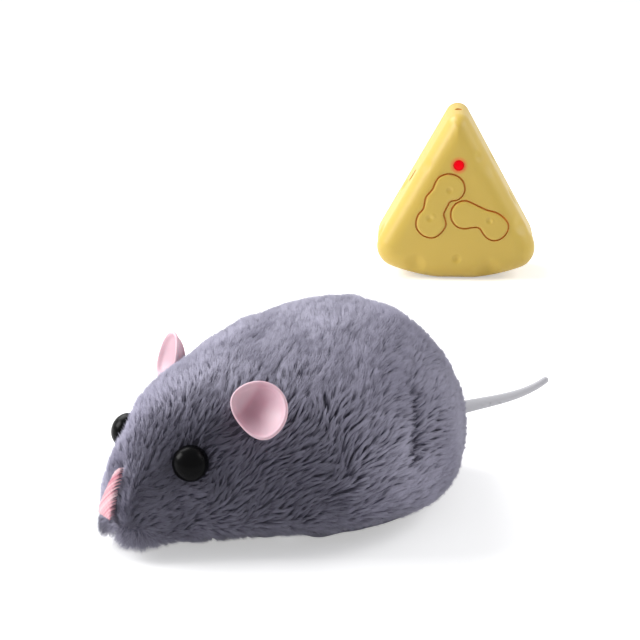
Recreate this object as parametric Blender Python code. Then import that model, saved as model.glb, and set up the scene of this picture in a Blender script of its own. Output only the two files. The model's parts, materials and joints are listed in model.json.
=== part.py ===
"""Plush remote-controlled mouse for cats, with its cheese-wedge remote control.

Metres, +Z up. The mouse's nose points along -Y and its left side along +X. The remote
stands on its rind behind the mouse and faces the same way as the photograph was taken.
The mouse is a plush skin over a moulded dome on a flat chassis, which holds one motor,
a two-stage gear train to the rear axle and a wheel at the front that swivels one way.
The remote is a two-part shell with two buttons, two cells and an infrared lamp.
"""

import math

import bpy
import numpy as np
from mathutils import Matrix, Vector

# Outer form of the mouse, over the pile of its plush
BODY_LENGTH = 0.116
BODY_WIDTH = 0.079
BODY_HEIGHT = 0.057
NOSE_HEIGHT = 0.008
RUMP_HEIGHT = 0.012
HEM_HEIGHT = 0.001
# Half width and rise at even turns from the nose (0) to the rump (half a turn)
HALF_WIDTH_SHARES = (0.85, 0.52, 0.69, 1.0, 0.92, 0.50, 0.22)
RISE_SHARES = (0.60, 0.82, 0.775, 0.794, 0.834, 0.65, 0.40)
END_ROUNDING_SHARE = 0.8
WAIST_SHARE = 0.15
NOSE_POWER = 2.1
RUMP_POWER = 1.9
TUCK_TURN_SHARE = 0.16

# Walls and clearances
PLUSH_THICKNESS = 0.004
HEM_WIDTH = 0.003
SHELL_WALL = 0.0016
PLUSH_EASE = 0.0008
SEAT_GAP = 0.0003
RUN_GAP = 0.0002
OVERRUN = 0.002

# Chassis, and what stands on it
PLATE_BOTTOM = 0.005
PLATE_THICKNESS = 0.0016
PLATE_TOP = PLATE_BOTTOM + PLATE_THICKNESS

# Drive
WHEEL_RADIUS = 0.012
WHEEL_WIDTH = 0.005
WHEEL_INNER_X = 0.0165
AXLE_SHARE = 0.12069
AXLE_Y = AXLE_SHARE * BODY_LENGTH
AXLE_RADIUS = 0.001
GEAR_MODULE = 0.0005
AXLE_TEETH = 26
IDLER_TEETH = 30
PINION_TEETH = 12
GEAR_WIDTH = 0.0028
IDLER_DIRECTION = math.radians(35)
MOTOR_DIRECTION = math.radians(-25)

# Remote control: a slice of a round cheese, point up
RIND_RADIUS = 0.070
HALF_ANGLE = math.radians(29)
POINT_RADIUS = 0.0047
CORNER_RADIUS = 0.0083
REMOTE_DEPTH = 0.032
EDGE_RADIUS = 0.004
REMOTE_WALL = 0.002
FOOT_HALF_WIDTH = 0.007
REMOTE_X = -0.143
REMOTE_Y = 0.1675
REMOTE_TURN = math.radians(53)

STATIONS = 21
INNER_STATIONS = 14
BODY_SIDES = (15, 6)
CAVITY_SIDES = (11, 8)
INNER_SIDES = (11, 4)
TYRE_SIDES = 28
ROUND_SIDES = 20
SMALL_SIDES = 10


def clear_scene():
    for old in list(bpy.data.objects):
        bpy.data.objects.remove(old, do_unlink=True)


def finish(name, colour, roughness, metallic=0.0):
    """A Principled material. Colour is linear red, green and blue."""
    made = bpy.data.materials.new(name)
    made.use_nodes = True
    shader = made.node_tree.nodes["Principled BSDF"]
    shader.inputs["Base Color"].default_value = (*colour, 1.0)
    shader.inputs["Roughness"].default_value = roughness
    shader.inputs["Metallic"].default_value = metallic
    return made


def group(name, at=(0, 0, 0), parent=None, turn=0.0):
    """An empty that carries pieces and stands on their joint's axis."""
    made = bpy.data.objects.new(name, None)
    bpy.context.scene.collection.objects.link(made)
    made.location = at
    made.rotation_euler = (0, 0, turn)
    made.parent = parent
    return made


def solid(points, faces):
    mesh = bpy.data.meshes.new("solid")
    mesh.from_pydata([tuple(map(float, p)) for p in points], [], faces)
    mesh.update()
    return mesh


def piece(name, mesh, parent, look, smooth=True):
    """A named sub-part with its own material. look is colour, roughness and metallic."""
    mesh.materials.clear()
    mesh.materials.append(finish(name, *look))
    made = bpy.data.objects.new(name, mesh)
    bpy.context.scene.collection.objects.link(made)
    made.parent = parent
    if smooth:
        mesh.shade_smooth()
        mesh.set_sharp_from_angle(angle=math.radians(35))
    return made


def guide(name, mesh, parent):
    """A cutter, or a shape to be joined on, which isn't a part itself."""
    made = bpy.data.objects.new(name, mesh)
    bpy.context.scene.collection.objects.link(made)
    made.parent = parent
    made.hide_render = True
    made.display_type = "WIRE"
    return made


def combine(target, operation, name, mesh):
    """Cuts a mesh from the target, or joins it on, in the target's own frame."""
    other = guide(f"{target.name}_{name}", mesh, target.parent)
    modifier = target.modifiers.new(name, "BOOLEAN")
    modifier.operation = operation
    modifier.solver = "EXACT"
    modifier.object = other
    return other


def cut(target, name, mesh):
    return combine(target, "DIFFERENCE", name, mesh)


def join(target, name, mesh):
    return combine(target, "UNION", name, mesh)


def loft(rings):
    """A closed solid through rings of equal length, with flat ends. The rings run
    counter-clockwise as seen from the last one."""
    rings = [np.asarray(ring, float) for ring in rings]
    count = len(rings[0])
    faces = [tuple(reversed(range(count)))]
    for level in range(len(rings) - 1):
        low = level * count
        high = low + count
        for i in range(count):
            j = (i + 1) % count
            faces.append((low + i, low + j, high + j, high + i))
    faces.append(tuple(range((len(rings) - 1) * count, len(rings) * count)))
    return solid(np.concatenate(rings), faces)


def prism(outline, low, high):
    """A counter-clockwise outline in X and Y, extruded along Z."""
    flat = np.asarray(outline, float)
    return loft([np.column_stack([flat, np.full(len(flat), z)]) for z in (low, high)])


def circle(radius, sides, centre=(0, 0)):
    turn = np.arange(sides) * 2 * math.pi / sides
    return np.column_stack(
        [centre[0] + radius * np.cos(turn), centre[1] + radius * np.sin(turn)]
    )


def rod(radius, low, high, sides=SMALL_SIDES, centre=(0, 0)):
    return prism(circle(radius, sides, centre), low, high)


def box(low, high):
    corners = [(low[0], low[1]), (high[0], low[1]), (high[0], high[1]), (low[0], high[1])]
    return prism(corners, low[2], high[2])


def turned(profile, sides=ROUND_SIDES):
    """A profile of radius and height, bottom to top, turned about Z with flat ends."""
    return loft(
        [
            np.column_stack([circle(radius, sides), np.full(sides, height)])
            for radius, height in profile
        ]
    )


def turned_ring(profile, sides=ROUND_SIDES):
    """A closed profile of radius and height, counter-clockwise with the radius to the
    right, turned about Z into a ring."""
    count = len(profile)
    points = [
        (radius * math.cos(turn), radius * math.sin(turn), height)
        for turn in (2 * math.pi * k / sides for k in range(sides))
        for radius, height in profile
    ]
    faces = []
    for k in range(sides):
        after = (k + 1) % sides
        for i in range(count):
            j = (i + 1) % count
            faces.append(
                (k * count + i, after * count + i, after * count + j, k * count + j)
            )
    return solid(points, faces)


def moved(mesh, matrix):
    mesh.transform(matrix)
    return mesh


def merged(meshes):
    """Meshes that don't touch, as one mesh, to cut or join in one go."""
    points = []
    faces = []
    for mesh in meshes:
        base = len(points)
        points.extend(tuple(v.co) for v in mesh.vertices)
        faces.extend(tuple(base + i for i in face.vertices) for face in mesh.polygons)
    return solid(points, faces)


def frame_at(place, normal, up):
    """A matrix whose Z is the normal and whose Y is as near to up as it can be."""
    z = Vector(normal).normalized()
    x = Vector(up).cross(z).normalized()
    y = z.cross(x)
    rotation = Matrix((x, y, z)).transposed().to_4x4()
    return Matrix.Translation(Vector(place)) @ rotation


ALONG_X = Matrix(((0, 0, 1, 0), (1, 0, 0, 0), (0, 1, 0, 0), (0, 0, 0, 1)))
ALONG_Y = Matrix(((1, 0, 0, 0), (0, 0, 1, 0), (0, -1, 0, 0), (0, 0, 0, 1)))
FLIPPED = Matrix.Rotation(math.pi, 4, "X")


def smooth_through(shares, turns):
    """A smooth curve through evenly spaced shares, read at turns from 0 to pi."""
    values = np.asarray(shares, float)
    slopes = np.gradient(values)
    spans = len(values) - 1
    place = np.clip(np.asarray(turns) / math.pi * spans, 0, spans)
    i = np.minimum(place.astype(int), spans - 1)
    u = place - i
    start = (2 * u**3 - 3 * u**2 + 1) * values[i] + (u**3 - 2 * u**2 + u) * slopes[i]
    end = (3 * u**2 - 2 * u**3) * values[i + 1] + (u**3 - u**2) * slopes[i + 1]
    return start + end


def body_at(y, inset=0.0):
    """Half width, waist, top, bottom and power of the body's section at y, for the form
    drawn in by inset. The bottom isn't drawn in, because the floor cuts it."""
    turn = np.arccos(np.clip(-np.asarray(y, float) / (BODY_LENGTH / 2), -1, 1))
    rounding = np.sin(turn) ** END_ROUNDING_SHARE
    half_width = BODY_WIDTH / 2 * smooth_through(HALF_WIDTH_SHARES, turn) * rounding
    rise = BODY_HEIGHT * smooth_through(RISE_SHARES, turn) * rounding
    along = (1 - np.cos(turn)) / 2
    end = NOSE_HEIGHT + (RUMP_HEIGHT - NOSE_HEIGHT) * along
    tuck = np.clip(np.sin(turn) / math.sin(TUCK_TURN_SHARE * math.pi), 0, 1) ** 0.7
    bottom = end - (end - HEM_HEIGHT) * tuck
    waist = end + WAIST_SHARE * rise
    power = NOSE_POWER + (RUMP_POWER - NOSE_POWER) * along
    return half_width - inset, waist, end + rise - inset, bottom, power


def station_turns(stations):
    """Even turns from nose to rump, half a step in from both ends."""
    margin = math.pi / stations / 2
    return np.linspace(margin, math.pi - margin, stations)


def end_of_form(inset, stations):
    """How far the form drawn in by inset reaches to the rear."""
    return -(BODY_LENGTH / 2 - inset) * math.cos(station_turns(stations)[-1])


def body_form(inset, floor, stations, sides):
    """The body's form drawn in by inset, as a closed solid with its underside cut flat
    at floor. sides are the points over the back and those down each flank."""
    over, flank = sides
    around = np.linspace(0, math.pi, over)
    rings = []
    for y in -(BODY_LENGTH / 2 - inset) * np.cos(station_turns(stations)):
        half_width, waist, top, bottom, power = body_at(y, inset)
        across = np.cos(around)
        upper_x = half_width * np.sign(across) * np.abs(across) ** (2 / power)
        upper_z = waist + (top - waist) * np.sin(around) ** (2 / power)
        deepest = min((waist - floor) / (waist - bottom), 0.995)
        under = deepest * np.arange(1, flank + 1) / flank
        lower_x = half_width * (1 - under**4) ** (1 / power)
        lower_z = waist - under * (waist - bottom)
        x = np.concatenate([upper_x, -lower_x, lower_x[::-1]])
        z = np.concatenate([upper_z, lower_z, lower_z[::-1]])
        rings.append(np.column_stack([x, np.full(len(x), y), z]))
    return loft([ring[::-1] for ring in rings])


def body_outline(inset, height):
    """The body's outline in plan at a height, drawn in by inset, counter-clockwise, at
    the stations of the forms inside the plush."""
    turns = station_turns(INNER_STATIONS)[1:-1]
    y = -(BODY_LENGTH / 2 - inset) * np.cos(turns)
    half_width, waist, _, bottom, power = body_at(y, inset)
    under = np.clip((waist - height) / (waist - bottom), 0, 0.995)
    x = half_width * (1 - under**4) ** (1 / power)
    right = np.column_stack([x, y])
    left = np.column_stack([-x, y])[::-1]
    return np.concatenate([right, left])


def dome_height(x, y, inset=0.0):
    half_width, waist, top, _, power = body_at(y, inset)
    across = min(abs(x) / half_width, 1)
    return float(waist + (top - waist) * (1 - across**power) ** (1 / power))


def dome_normal(x, y):
    """Outward normal of the body's form at x and y, from its slopes."""
    step = BODY_LENGTH / 1000
    slope_x = (dome_height(x + step, y) - dome_height(x - step, y)) / (2 * step)
    slope_y = (dome_height(x, y + step) - dome_height(x, y - step)) / (2 * step)
    return Vector((-slope_x, -slope_y, 1)).normalized()


# Chassis screws, in pairs, as shares of the body's half width and half length
SCREW_SHARES = ((0.105, -0.793), (0.12, 0.784))
SCREW_SHANK = 0.0009
SCREW_HEAD = 0.0018
SCREW_HEAD_HEIGHT = 0.001
SCREW_LENGTH = 0.008
BOSS_RADIUS = 0.0026

STEEL = ((0.46, 0.47, 0.48), 0.3, 1.0)
WHITE_ABS = ((0.78, 0.78, 0.76), 0.45, 0.0)
BLACK_ABS = ((0.02, 0.02, 0.022), 0.45, 0.0)
RUBBER = ((0.03, 0.03, 0.032), 0.8, 0.0)
ACETAL = ((0.80, 0.79, 0.74), 0.4, 0.0)
BOARD_GREEN = ((0.02, 0.14, 0.06), 0.4, 0.0)
CHEESE = ((0.83, 0.64, 0.20), 0.45, 0.0)
EAR_PINK = ((0.80, 0.52, 0.58), 0.4, 0.0)
FUR_GREY = ((0.25, 0.24, 0.31), 0.95, 0.0)


def screw_mesh(length=SCREW_LENGTH):
    """A pan-head screw along Z, head down, its seat at zero."""
    return turned(
        [
            (SCREW_HEAD * 0.85, -SCREW_HEAD_HEIGHT),
            (SCREW_HEAD, 0),
            (SCREW_SHANK, 0),
            (SCREW_SHANK, length),
        ],
        SMALL_SIDES,
    )


def screw_points():
    half_width = BODY_WIDTH / 2
    half_length = BODY_LENGTH / 2
    return [
        (side * across * half_width, along * half_length)
        for across, along in SCREW_SHARES
        for side in (1, -1)
    ]


def stem_cutters(stems, grow):
    """Rods round the stems of eyes, ears and tail, each a matrix, radius and length."""
    return merged(
        [
            moved(rod(radius + grow, -length - grow, OVERRUN), matrix)
            for matrix, radius, length in stems
        ]
    )


# Eyes: black domes on a stem, placed in plan as shares of the half width and length
EYE_SHARES = (0.382, -0.715)
EYE_RADIUS = 0.0047
EYE_RISE = 0.0042
EYE_SINK = 0.0012
EYE_STEM_RADIUS = 0.0012
EYE_STEM_LENGTH = 0.0075


def place_on_body(shares):
    return shares[0] * BODY_WIDTH / 2, shares[1] * BODY_LENGTH / 2


def eye_matrix(side):
    x, y = place_on_body(EYE_SHARES)
    normal = dome_normal(x, y)
    place = (side * x, y, dome_height(x, y))
    return frame_at(place, (side * normal.x, normal.y, normal.z), (0, 0, 1))


def eye_profile(grow):
    """Stem, flat back and dome, bottom to top, each grown for a clearance."""
    profile = [
        (EYE_STEM_RADIUS + grow, -EYE_STEM_LENGTH - grow),
        (EYE_STEM_RADIUS + grow, -EYE_SINK - grow),
        (EYE_RADIUS * 0.93 + grow, -EYE_SINK - grow),
    ]
    steps = 5
    for k in range(steps):
        turn = math.pi / 2 * k / steps
        profile.append(
            ((EYE_RADIUS + grow) * math.cos(turn), (EYE_RISE + grow) * math.sin(turn))
        )
    return profile


def eyes(mouse, cover, shell):
    for side, name in ((1, "left"), (-1, "right")):
        matrix = eye_matrix(side)
        dome = moved(turned(eye_profile(0)), matrix)
        piece(f"{name}_eye", dome, mouse, ((0.004, 0.004, 0.004), 0.15, 0.0))
        cut(cover, f"{name}_eye_seat", moved(turned(eye_profile(SEAT_GAP)), matrix))
    stems = [(eye_matrix(side), EYE_STEM_RADIUS, EYE_STEM_LENGTH) for side in (1, -1)]
    cut(shell, "eye_holes", stem_cutters(stems, SEAT_GAP))


# Ears: cupped discs that face forward, outward and up, on a stem at their lower edge
EAR_SHARES = (0.492, -0.499)
EAR_RADIUS = 0.0078
EAR_THICKNESS = 0.0014
EAR_CUP = 0.0030
EAR_SINK = 0.0006
EAR_NORMAL = (0.50, -0.65, 0.57)
EAR_UP = (0.26, 0.745, 0.614)
EAR_STEM_RADIUS = 0.0016
EAR_STEM_LENGTH = 0.0088
EAR_RING_SHARES = (0.1, 0.45, 0.75, 0.95)


def ear_matrix(side):
    x, y = place_on_body(EAR_SHARES)
    place = Vector((side * x, y, dome_height(x, y)))
    up = Vector((side * EAR_UP[0], EAR_UP[1], EAR_UP[2])).normalized()
    normal = (side * EAR_NORMAL[0], EAR_NORMAL[1], EAR_NORMAL[2])
    return frame_at(place - up * EAR_SINK, normal, up)


def ear_stem_matrix(side):
    """From the ear's lower edge straight into the body, along its normal."""
    edge = Vector((0, EAR_STEM_RADIUS, EAR_CUP * 0.6))
    inward = dome_normal(*place_on_body(EAR_SHARES))
    normal = (side * inward.x, inward.y, inward.z)
    return frame_at(ear_matrix(side) @ edge, normal, (0, 0, 1))


def ear_disc(grow):
    """A dished disc, its base at the origin and its tip along Y, facing Z."""
    radius = EAR_RADIUS + grow
    half = EAR_THICKNESS / 2 + grow
    turn = np.arange(ROUND_SIDES) * 2 * math.pi / ROUND_SIDES
    taper = 1 - 0.12 * (1 - np.sin(turn)) / 2

    def ring(share, offset):
        x = radius * share * np.cos(turn) * taper
        y = EAR_RADIUS + radius * share * np.sin(turn)
        z = EAR_CUP * share**2 + offset
        return np.column_stack([x, y, np.full(len(turn), z)])

    back = [ring(share, -half) for share in EAR_RING_SHARES]
    front = [ring(share, half) for share in reversed(EAR_RING_SHARES)]
    return loft([*back, ring(1, 0), *front])


def ears(mouse, cover, shell):
    for side, name in ((1, "left"), (-1, "right")):
        matrix = ear_matrix(side)
        stem_matrix = ear_stem_matrix(side)
        ear = piece(f"{name}_ear", moved(ear_disc(0), matrix), mouse, EAR_PINK)
        join(ear, "stem", moved(rod(EAR_STEM_RADIUS, -EAR_STEM_LENGTH, 0), stem_matrix))
        cut(cover, f"{name}_ear_slot", moved(ear_disc(SEAT_GAP), matrix))
        stem = [(stem_matrix, EAR_STEM_RADIUS, EAR_STEM_LENGTH)]
        cut(cover, f"{name}_ear_hole", stem_cutters(stem, SEAT_GAP))
        cut(shell, f"{name}_ear_hole", stem_cutters(stem, SEAT_GAP))


# Nose: a satin-stitched patch down the front of the face
NOSE_TURNS = (math.radians(2.2), math.radians(19.0))
NOSE_WIDE = 0.0066
NOSE_NARROW = 0.0034
NOSE_SINK = 0.0012
NOSE_PROUD = 0.0003


def nose_patch(grow):
    """A strip that follows the crest of the face, wide below and narrow above."""
    rings = []
    turns = np.linspace(*NOSE_TURNS, 7)
    y = -BODY_LENGTH / 2 * np.cos(turns)
    z = body_at(y)[2]
    line = np.column_stack([y, z])
    slope = np.gradient(line, axis=0)
    slope /= np.linalg.norm(slope, axis=1)[:, None]
    ends = np.array([-grow, *([0] * (len(turns) - 2)), grow])
    widths = np.linspace(NOSE_WIDE, NOSE_NARROW, len(turns)) / 2 + grow
    for point, way, end, half in zip(line + slope * ends[:, None], slope, ends, widths):
        out = np.array([-way[1], way[0]])
        outer = point + out * (NOSE_PROUD + grow)
        inner = point - out * (NOSE_SINK + grow)
        rings.append(
            [
                (-half, *outer),
                (half, *outer),
                (half, *inner),
                (-half, *inner),
            ]
        )
    return loft(rings)


def nose(mouse, cover):
    piece("nose_stitching", nose_patch(0), mouse, ((0.75, 0.32, 0.40), 0.6, 0.0))
    cut(cover, "nose_seat", nose_patch(SEAT_GAP))


# Tail: a soft rubber rod, held by a flange inside the dome. Its middle line is given
# behind the body and above its root, as shares of its length.
TAIL_LENGTH = 0.0315
TAIL_SHARES = ((0.02, 0), (0.276, -0.006), (0.552, -0.01), (0.81, 0.016), (0.99, 0.067))
TAIL_ROOT_RADIUS = 0.0019
TAIL_TIP_RADIUS = 0.00105
TAIL_FLANGE_RADIUS = 0.0036
TAIL_FLANGE_THICKNESS = 0.0012
TAIL_HEIGHT = 0.0161


def tail(mouse, cover, shell):
    """Rings along the tail's middle line, from its flange to its round tip."""
    wall = PLUSH_THICKNESS + PLUSH_EASE + SHELL_WALL
    flange_y = end_of_form(wall, INNER_STATIONS) - SEAT_GAP
    straight = [
        (flange_y - TAIL_FLANGE_THICKNESS, TAIL_HEIGHT, TAIL_FLANGE_RADIUS),
        (flange_y, TAIL_HEIGHT, TAIL_FLANGE_RADIUS),
        (flange_y, TAIL_HEIGHT, TAIL_ROOT_RADIUS),
    ]
    taper = np.linspace(TAIL_ROOT_RADIUS, TAIL_TIP_RADIUS, len(TAIL_SHARES))
    behind = BODY_LENGTH / 2
    line = straight + [
        (behind + back * TAIL_LENGTH, TAIL_HEIGHT + up * TAIL_LENGTH, radius)
        for (back, up), radius in zip(TAIL_SHARES, taper)
    ]
    tip_y, tip_z, _ = line[-1]
    last = np.array(line[-1][:2]) - np.array(line[-2][:2])
    last /= np.linalg.norm(last)
    for share in (0.6, 0.95):
        ahead = TAIL_TIP_RADIUS * share
        line.append(
            (
                tip_y + last[0] * ahead,
                tip_z + last[1] * ahead,
                TAIL_TIP_RADIUS * math.sqrt(1 - share**2),
            )
        )
    middle = np.array([(y, z) for y, z, _ in line])
    ways = np.gradient(middle, axis=0)
    ways[: len(straight)] = (1, 0)
    turn = np.arange(SMALL_SIDES) * 2 * math.pi / SMALL_SIDES
    rings = []
    for (y, z), way, (_, _, radius) in zip(middle, ways, line):
        way = way / np.linalg.norm(way)
        side = radius * np.cos(turn)
        up = radius * np.sin(turn)
        ring = np.column_stack([side, y - up * way[1], z + up * way[0]])
        rings.append(ring[::-1])
    piece("tail", loft(rings), mouse, ((0.55, 0.54, 0.56), 0.5, 0.0))
    through = moved(
        rod(TAIL_ROOT_RADIUS + SEAT_GAP, flange_y - OVERRUN, BODY_LENGTH / 2 + OVERRUN),
        ALONG_Y,
    )
    place = Matrix.Translation((0, 0, TAIL_HEIGHT))
    for target in (cover, shell):
        cut(target, "tail_hole", moved(through.copy(), place))


def cover_and_shell(mouse):
    """The plush skin, and the moulded dome under it with its four screw bosses."""
    cover = piece(
        "plush_cover",
        body_form(0, HEM_HEIGHT, STATIONS, BODY_SIDES),
        mouse,
        FUR_GREY,
    )
    cut(
        cover,
        "cavity",
        body_form(PLUSH_THICKNESS, PLATE_BOTTOM - SEAT_GAP, INNER_STATIONS, CAVITY_SIDES),
    )
    opening = body_outline(PLUSH_THICKNESS + HEM_WIDTH, PLATE_BOTTOM)
    cut(cover, "opening", prism(opening, -OVERRUN, PLATE_BOTTOM + OVERRUN))

    outer = PLUSH_THICKNESS + PLUSH_EASE
    shell = piece(
        "body_shell",
        body_form(outer, PLATE_TOP + SEAT_GAP, INNER_STATIONS, INNER_SIDES),
        mouse,
        WHITE_ABS,
    )
    hollow = cut(
        shell,
        "hollow",
        body_form(outer + SHELL_WALL, PLATE_BOTTOM, INNER_STATIONS, INNER_SIDES),
    )
    bosses = merged(
        [rod(BOSS_RADIUS, 0, BODY_HEIGHT, centre=place) for place in screw_points()]
    )
    cut(hollow, "bosses", bosses)
    pilots = merged(
        [
            rod(
                SCREW_SHANK + RUN_GAP,
                PLATE_TOP,
                PLATE_BOTTOM + SCREW_LENGTH + OVERRUN,
                centre=place,
            )
            for place in screw_points()
        ]
    )
    cut(shell, "pilot_holes", pilots)
    return cover, shell


# Gear train
BACKLASH = 0.0001
PRESSURE_ANGLE = math.radians(20)
ADDENDUM_SHARE = 0.8
DEDENDUM_SHARE = 1.1
IDLER_PIN_RADIUS = 0.0008
MOTOR_SHAFT_RADIUS = 0.00075
PINION_X = 0.0026
AXLE_GEAR_X = 0.0060
WHEEL_TRACK_END = WHEEL_INNER_X + WHEEL_WIDTH
AXLE_Z = WHEEL_RADIUS


def gear_radius(teeth):
    return teeth * GEAR_MODULE / 2


def gear_outline(teeth, tooth_at):
    """Teeth on chords of their involute flanks, one tooth's middle at angle tooth_at."""
    pitch = gear_radius(teeth)
    base = pitch * math.cos(PRESSURE_ANGLE)
    tip = pitch + ADDENDUM_SHARE * GEAR_MODULE
    root = pitch - DEDENDUM_SHARE * GEAR_MODULE
    half_pitch = (math.pi * GEAR_MODULE / 2 - BACKLASH) / 2 / pitch

    def involute(angle):
        return math.tan(angle) - angle

    def half(radius):
        angle = math.acos(min(base / radius, 1))
        return half_pitch + involute(PRESSURE_ANGLE) - involute(angle)

    flank = [(root, half(base)), (tip, half(tip))]
    outline = []
    for k in range(teeth):
        middle = tooth_at + 2 * math.pi * k / teeth
        for radius, turn in flank:
            outline.append((radius, middle - turn))
        for radius, turn in reversed(flank):
            outline.append((radius, middle + turn))
    return [(r * math.cos(a), r * math.sin(a)) for r, a in outline]


def idler_place():
    reach = gear_radius(AXLE_TEETH) + gear_radius(PINION_TEETH)
    return (
        AXLE_Y + reach * math.cos(IDLER_DIRECTION),
        AXLE_Z + reach * math.sin(IDLER_DIRECTION),
    )


def motor_place():
    reach = gear_radius(IDLER_TEETH) + gear_radius(PINION_TEETH)
    y, z = idler_place()
    return y + reach * math.cos(MOTOR_DIRECTION), z + reach * math.sin(MOTOR_DIRECTION)


def rear_axle(mouse):
    """Steel axle with both wheels and the driven gear, turning as one."""
    axle = group("rear_axle_turn", (0, AXLE_Y, AXLE_Z), mouse)
    end = WHEEL_TRACK_END - SEAT_GAP
    piece("axle_shaft", moved(rod(AXLE_RADIUS, -end, end), ALONG_X), axle, STEEL)
    gear_end = AXLE_GEAR_X + GEAR_WIDTH
    gear = piece(
        "axle_gear",
        moved(
            prism(gear_outline(AXLE_TEETH, IDLER_DIRECTION), AXLE_GEAR_X, gear_end),
            ALONG_X,
        ),
        axle,
        ACETAL,
        smooth=False,
    )
    bore = rod(AXLE_RADIUS + RUN_GAP, AXLE_GEAR_X - OVERRUN, gear_end + OVERRUN)
    cut(gear, "bore", moved(bore, ALONG_X))
    rim = WHEEL_RADIUS * 0.8
    hub_radius = AXLE_RADIUS * 2.8
    web = WHEEL_WIDTH * 0.3
    hub_profile = [
        (AXLE_RADIUS + RUN_GAP, 0),
        (hub_radius, 0),
        (hub_radius, web),
        (rim * 0.85, web),
        (rim * 0.85, 0),
        (rim, 0),
        (rim, WHEEL_WIDTH),
        (rim * 0.85, WHEEL_WIDTH),
        (rim * 0.85, WHEEL_WIDTH - web),
        (hub_radius, WHEEL_WIDTH - web),
        (hub_radius, WHEEL_WIDTH),
        (AXLE_RADIUS + RUN_GAP, WHEEL_WIDTH),
    ]
    edge = WHEEL_WIDTH * 0.16
    tyre_profile = [
        (rim + SEAT_GAP, 0),
        (WHEEL_RADIUS - edge, 0),
        (WHEEL_RADIUS, edge),
        (WHEEL_RADIUS, WHEEL_WIDTH - edge),
        (WHEEL_RADIUS - edge, WHEEL_WIDTH),
        (rim + SEAT_GAP, WHEEL_WIDTH),
    ]
    for side, name in ((1, "left"), (-1, "right")):
        start = WHEEL_INNER_X if side > 0 else -WHEEL_TRACK_END
        place = Matrix.Translation((start, 0, 0)) @ ALONG_X
        piece(f"{name}_wheel", moved(turned_ring(hub_profile), place), axle, WHITE_ABS)
        piece(f"{name}_tyre", moved(turned_ring(tyre_profile, TYRE_SIDES), place), axle, RUBBER)


def idler(mouse):
    """Compound gear on a fixed steel pin."""
    y, z = idler_place()
    turn = group("idler_turn", (0, y, z), mouse)
    large_end = PINION_X + GEAR_WIDTH
    small_end = AXLE_GEAR_X + GEAR_WIDTH + SEAT_GAP
    gear = piece(
        "compound_gear",
        moved(
            prism(gear_outline(IDLER_TEETH, MOTOR_DIRECTION), PINION_X, large_end),
            ALONG_X,
        ),
        turn,
        ACETAL,
        smooth=False,
    )
    gap_at = IDLER_DIRECTION + math.pi
    small = gear_outline(PINION_TEETH, gap_at + math.pi / PINION_TEETH)
    join(
        gear, "small_gear", moved(prism(small, large_end - RUN_GAP, small_end), ALONG_X)
    )
    bore = rod(IDLER_PIN_RADIUS + RUN_GAP, PINION_X - OVERRUN, small_end + OVERRUN)
    cut(gear, "bore", moved(bore, ALONG_X))
    pin = rod(IDLER_PIN_RADIUS, GEAR_PLATE_RIGHT_X, GEAR_PLATE_LEFT_X + GEAR_PLATE)
    place = Matrix.Translation((0, y, z)) @ ALONG_X
    piece("idler_pin", moved(pin, place), mouse, STEEL)


# Motor: a small flat-sided can, its shaft across the mouse
MOTOR_WIDTH = 0.0155
MOTOR_HEIGHT = 0.012
MOTOR_LENGTH = 0.0142
MOTOR_FACE_X = 0.0003
STRAP_WIDTH = 0.004
STRAP_THICKNESS = 0.001
STRAP_FOOT = 0.0025


def motor(mouse):
    y, z = motor_place()
    half = MOTOR_WIDTH / 2
    flat = MOTOR_HEIGHT / 2
    bulge = math.asin(flat / half)
    outline = []
    for middle in (0, math.pi):
        for turn in np.linspace(middle - bulge, middle + bulge, 8):
            outline.append((half * math.cos(turn), half * math.sin(turn)))
    place = Matrix.Translation((0, y, z)) @ ALONG_X
    can = piece(
        "motor",
        moved(prism(outline, MOTOR_FACE_X - MOTOR_LENGTH, MOTOR_FACE_X), place),
        mouse,
        STEEL,
    )
    bore = rod(MOTOR_SHAFT_RADIUS + RUN_GAP, -BODY_WIDTH / 2, BODY_WIDTH / 2)
    cut(can, "bore", moved(bore, place))

    rotor = group("rotor_turn", (0, y, z), mouse)
    shaft = rod(
        MOTOR_SHAFT_RADIUS,
        MOTOR_FACE_X - MOTOR_LENGTH - SCREW_HEAD_HEIGHT,
        PINION_X + GEAR_WIDTH,
    )
    piece("motor_shaft", moved(shaft, ALONG_X), rotor, STEEL)
    gap_at = MOTOR_DIRECTION + math.pi
    teeth = gear_outline(PINION_TEETH, gap_at + math.pi / PINION_TEETH)
    pinion = piece(
        "motor_pinion",
        moved(prism(teeth, PINION_X, PINION_X + GEAR_WIDTH), ALONG_X),
        rotor,
        ((0.62, 0.46, 0.18), 0.3, 1.0),
        smooth=False,
    )
    hole = rod(MOTOR_SHAFT_RADIUS + RUN_GAP, 0, BODY_WIDTH / 2)
    cut(pinion, "bore", moved(hole, ALONG_X))

    inner = half + SEAT_GAP
    outer = inner + STRAP_THICKNESS
    top = z + flat + SEAT_GAP
    foot = PLATE_TOP + SEAT_GAP
    outline = [
        (y - outer - STRAP_FOOT, foot),
        (y - inner, foot),
        (y - inner, top),
        (y + inner, top),
        (y + inner, foot),
        (y + outer + STRAP_FOOT, foot),
        (y + outer + STRAP_FOOT, foot + STRAP_THICKNESS),
        (y + outer, foot + STRAP_THICKNESS),
        (y + outer, top + STRAP_THICKNESS),
        (y - outer, top + STRAP_THICKNESS),
        (y - outer, foot + STRAP_THICKNESS),
        (y - outer - STRAP_FOOT, foot + STRAP_THICKNESS),
    ]
    middle = MOTOR_FACE_X - MOTOR_LENGTH / 2
    strap = prism(outline, middle - STRAP_WIDTH / 2, middle + STRAP_WIDTH / 2)
    piece("motor_strap", moved(strap, ALONG_X), mouse, STEEL)


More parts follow.
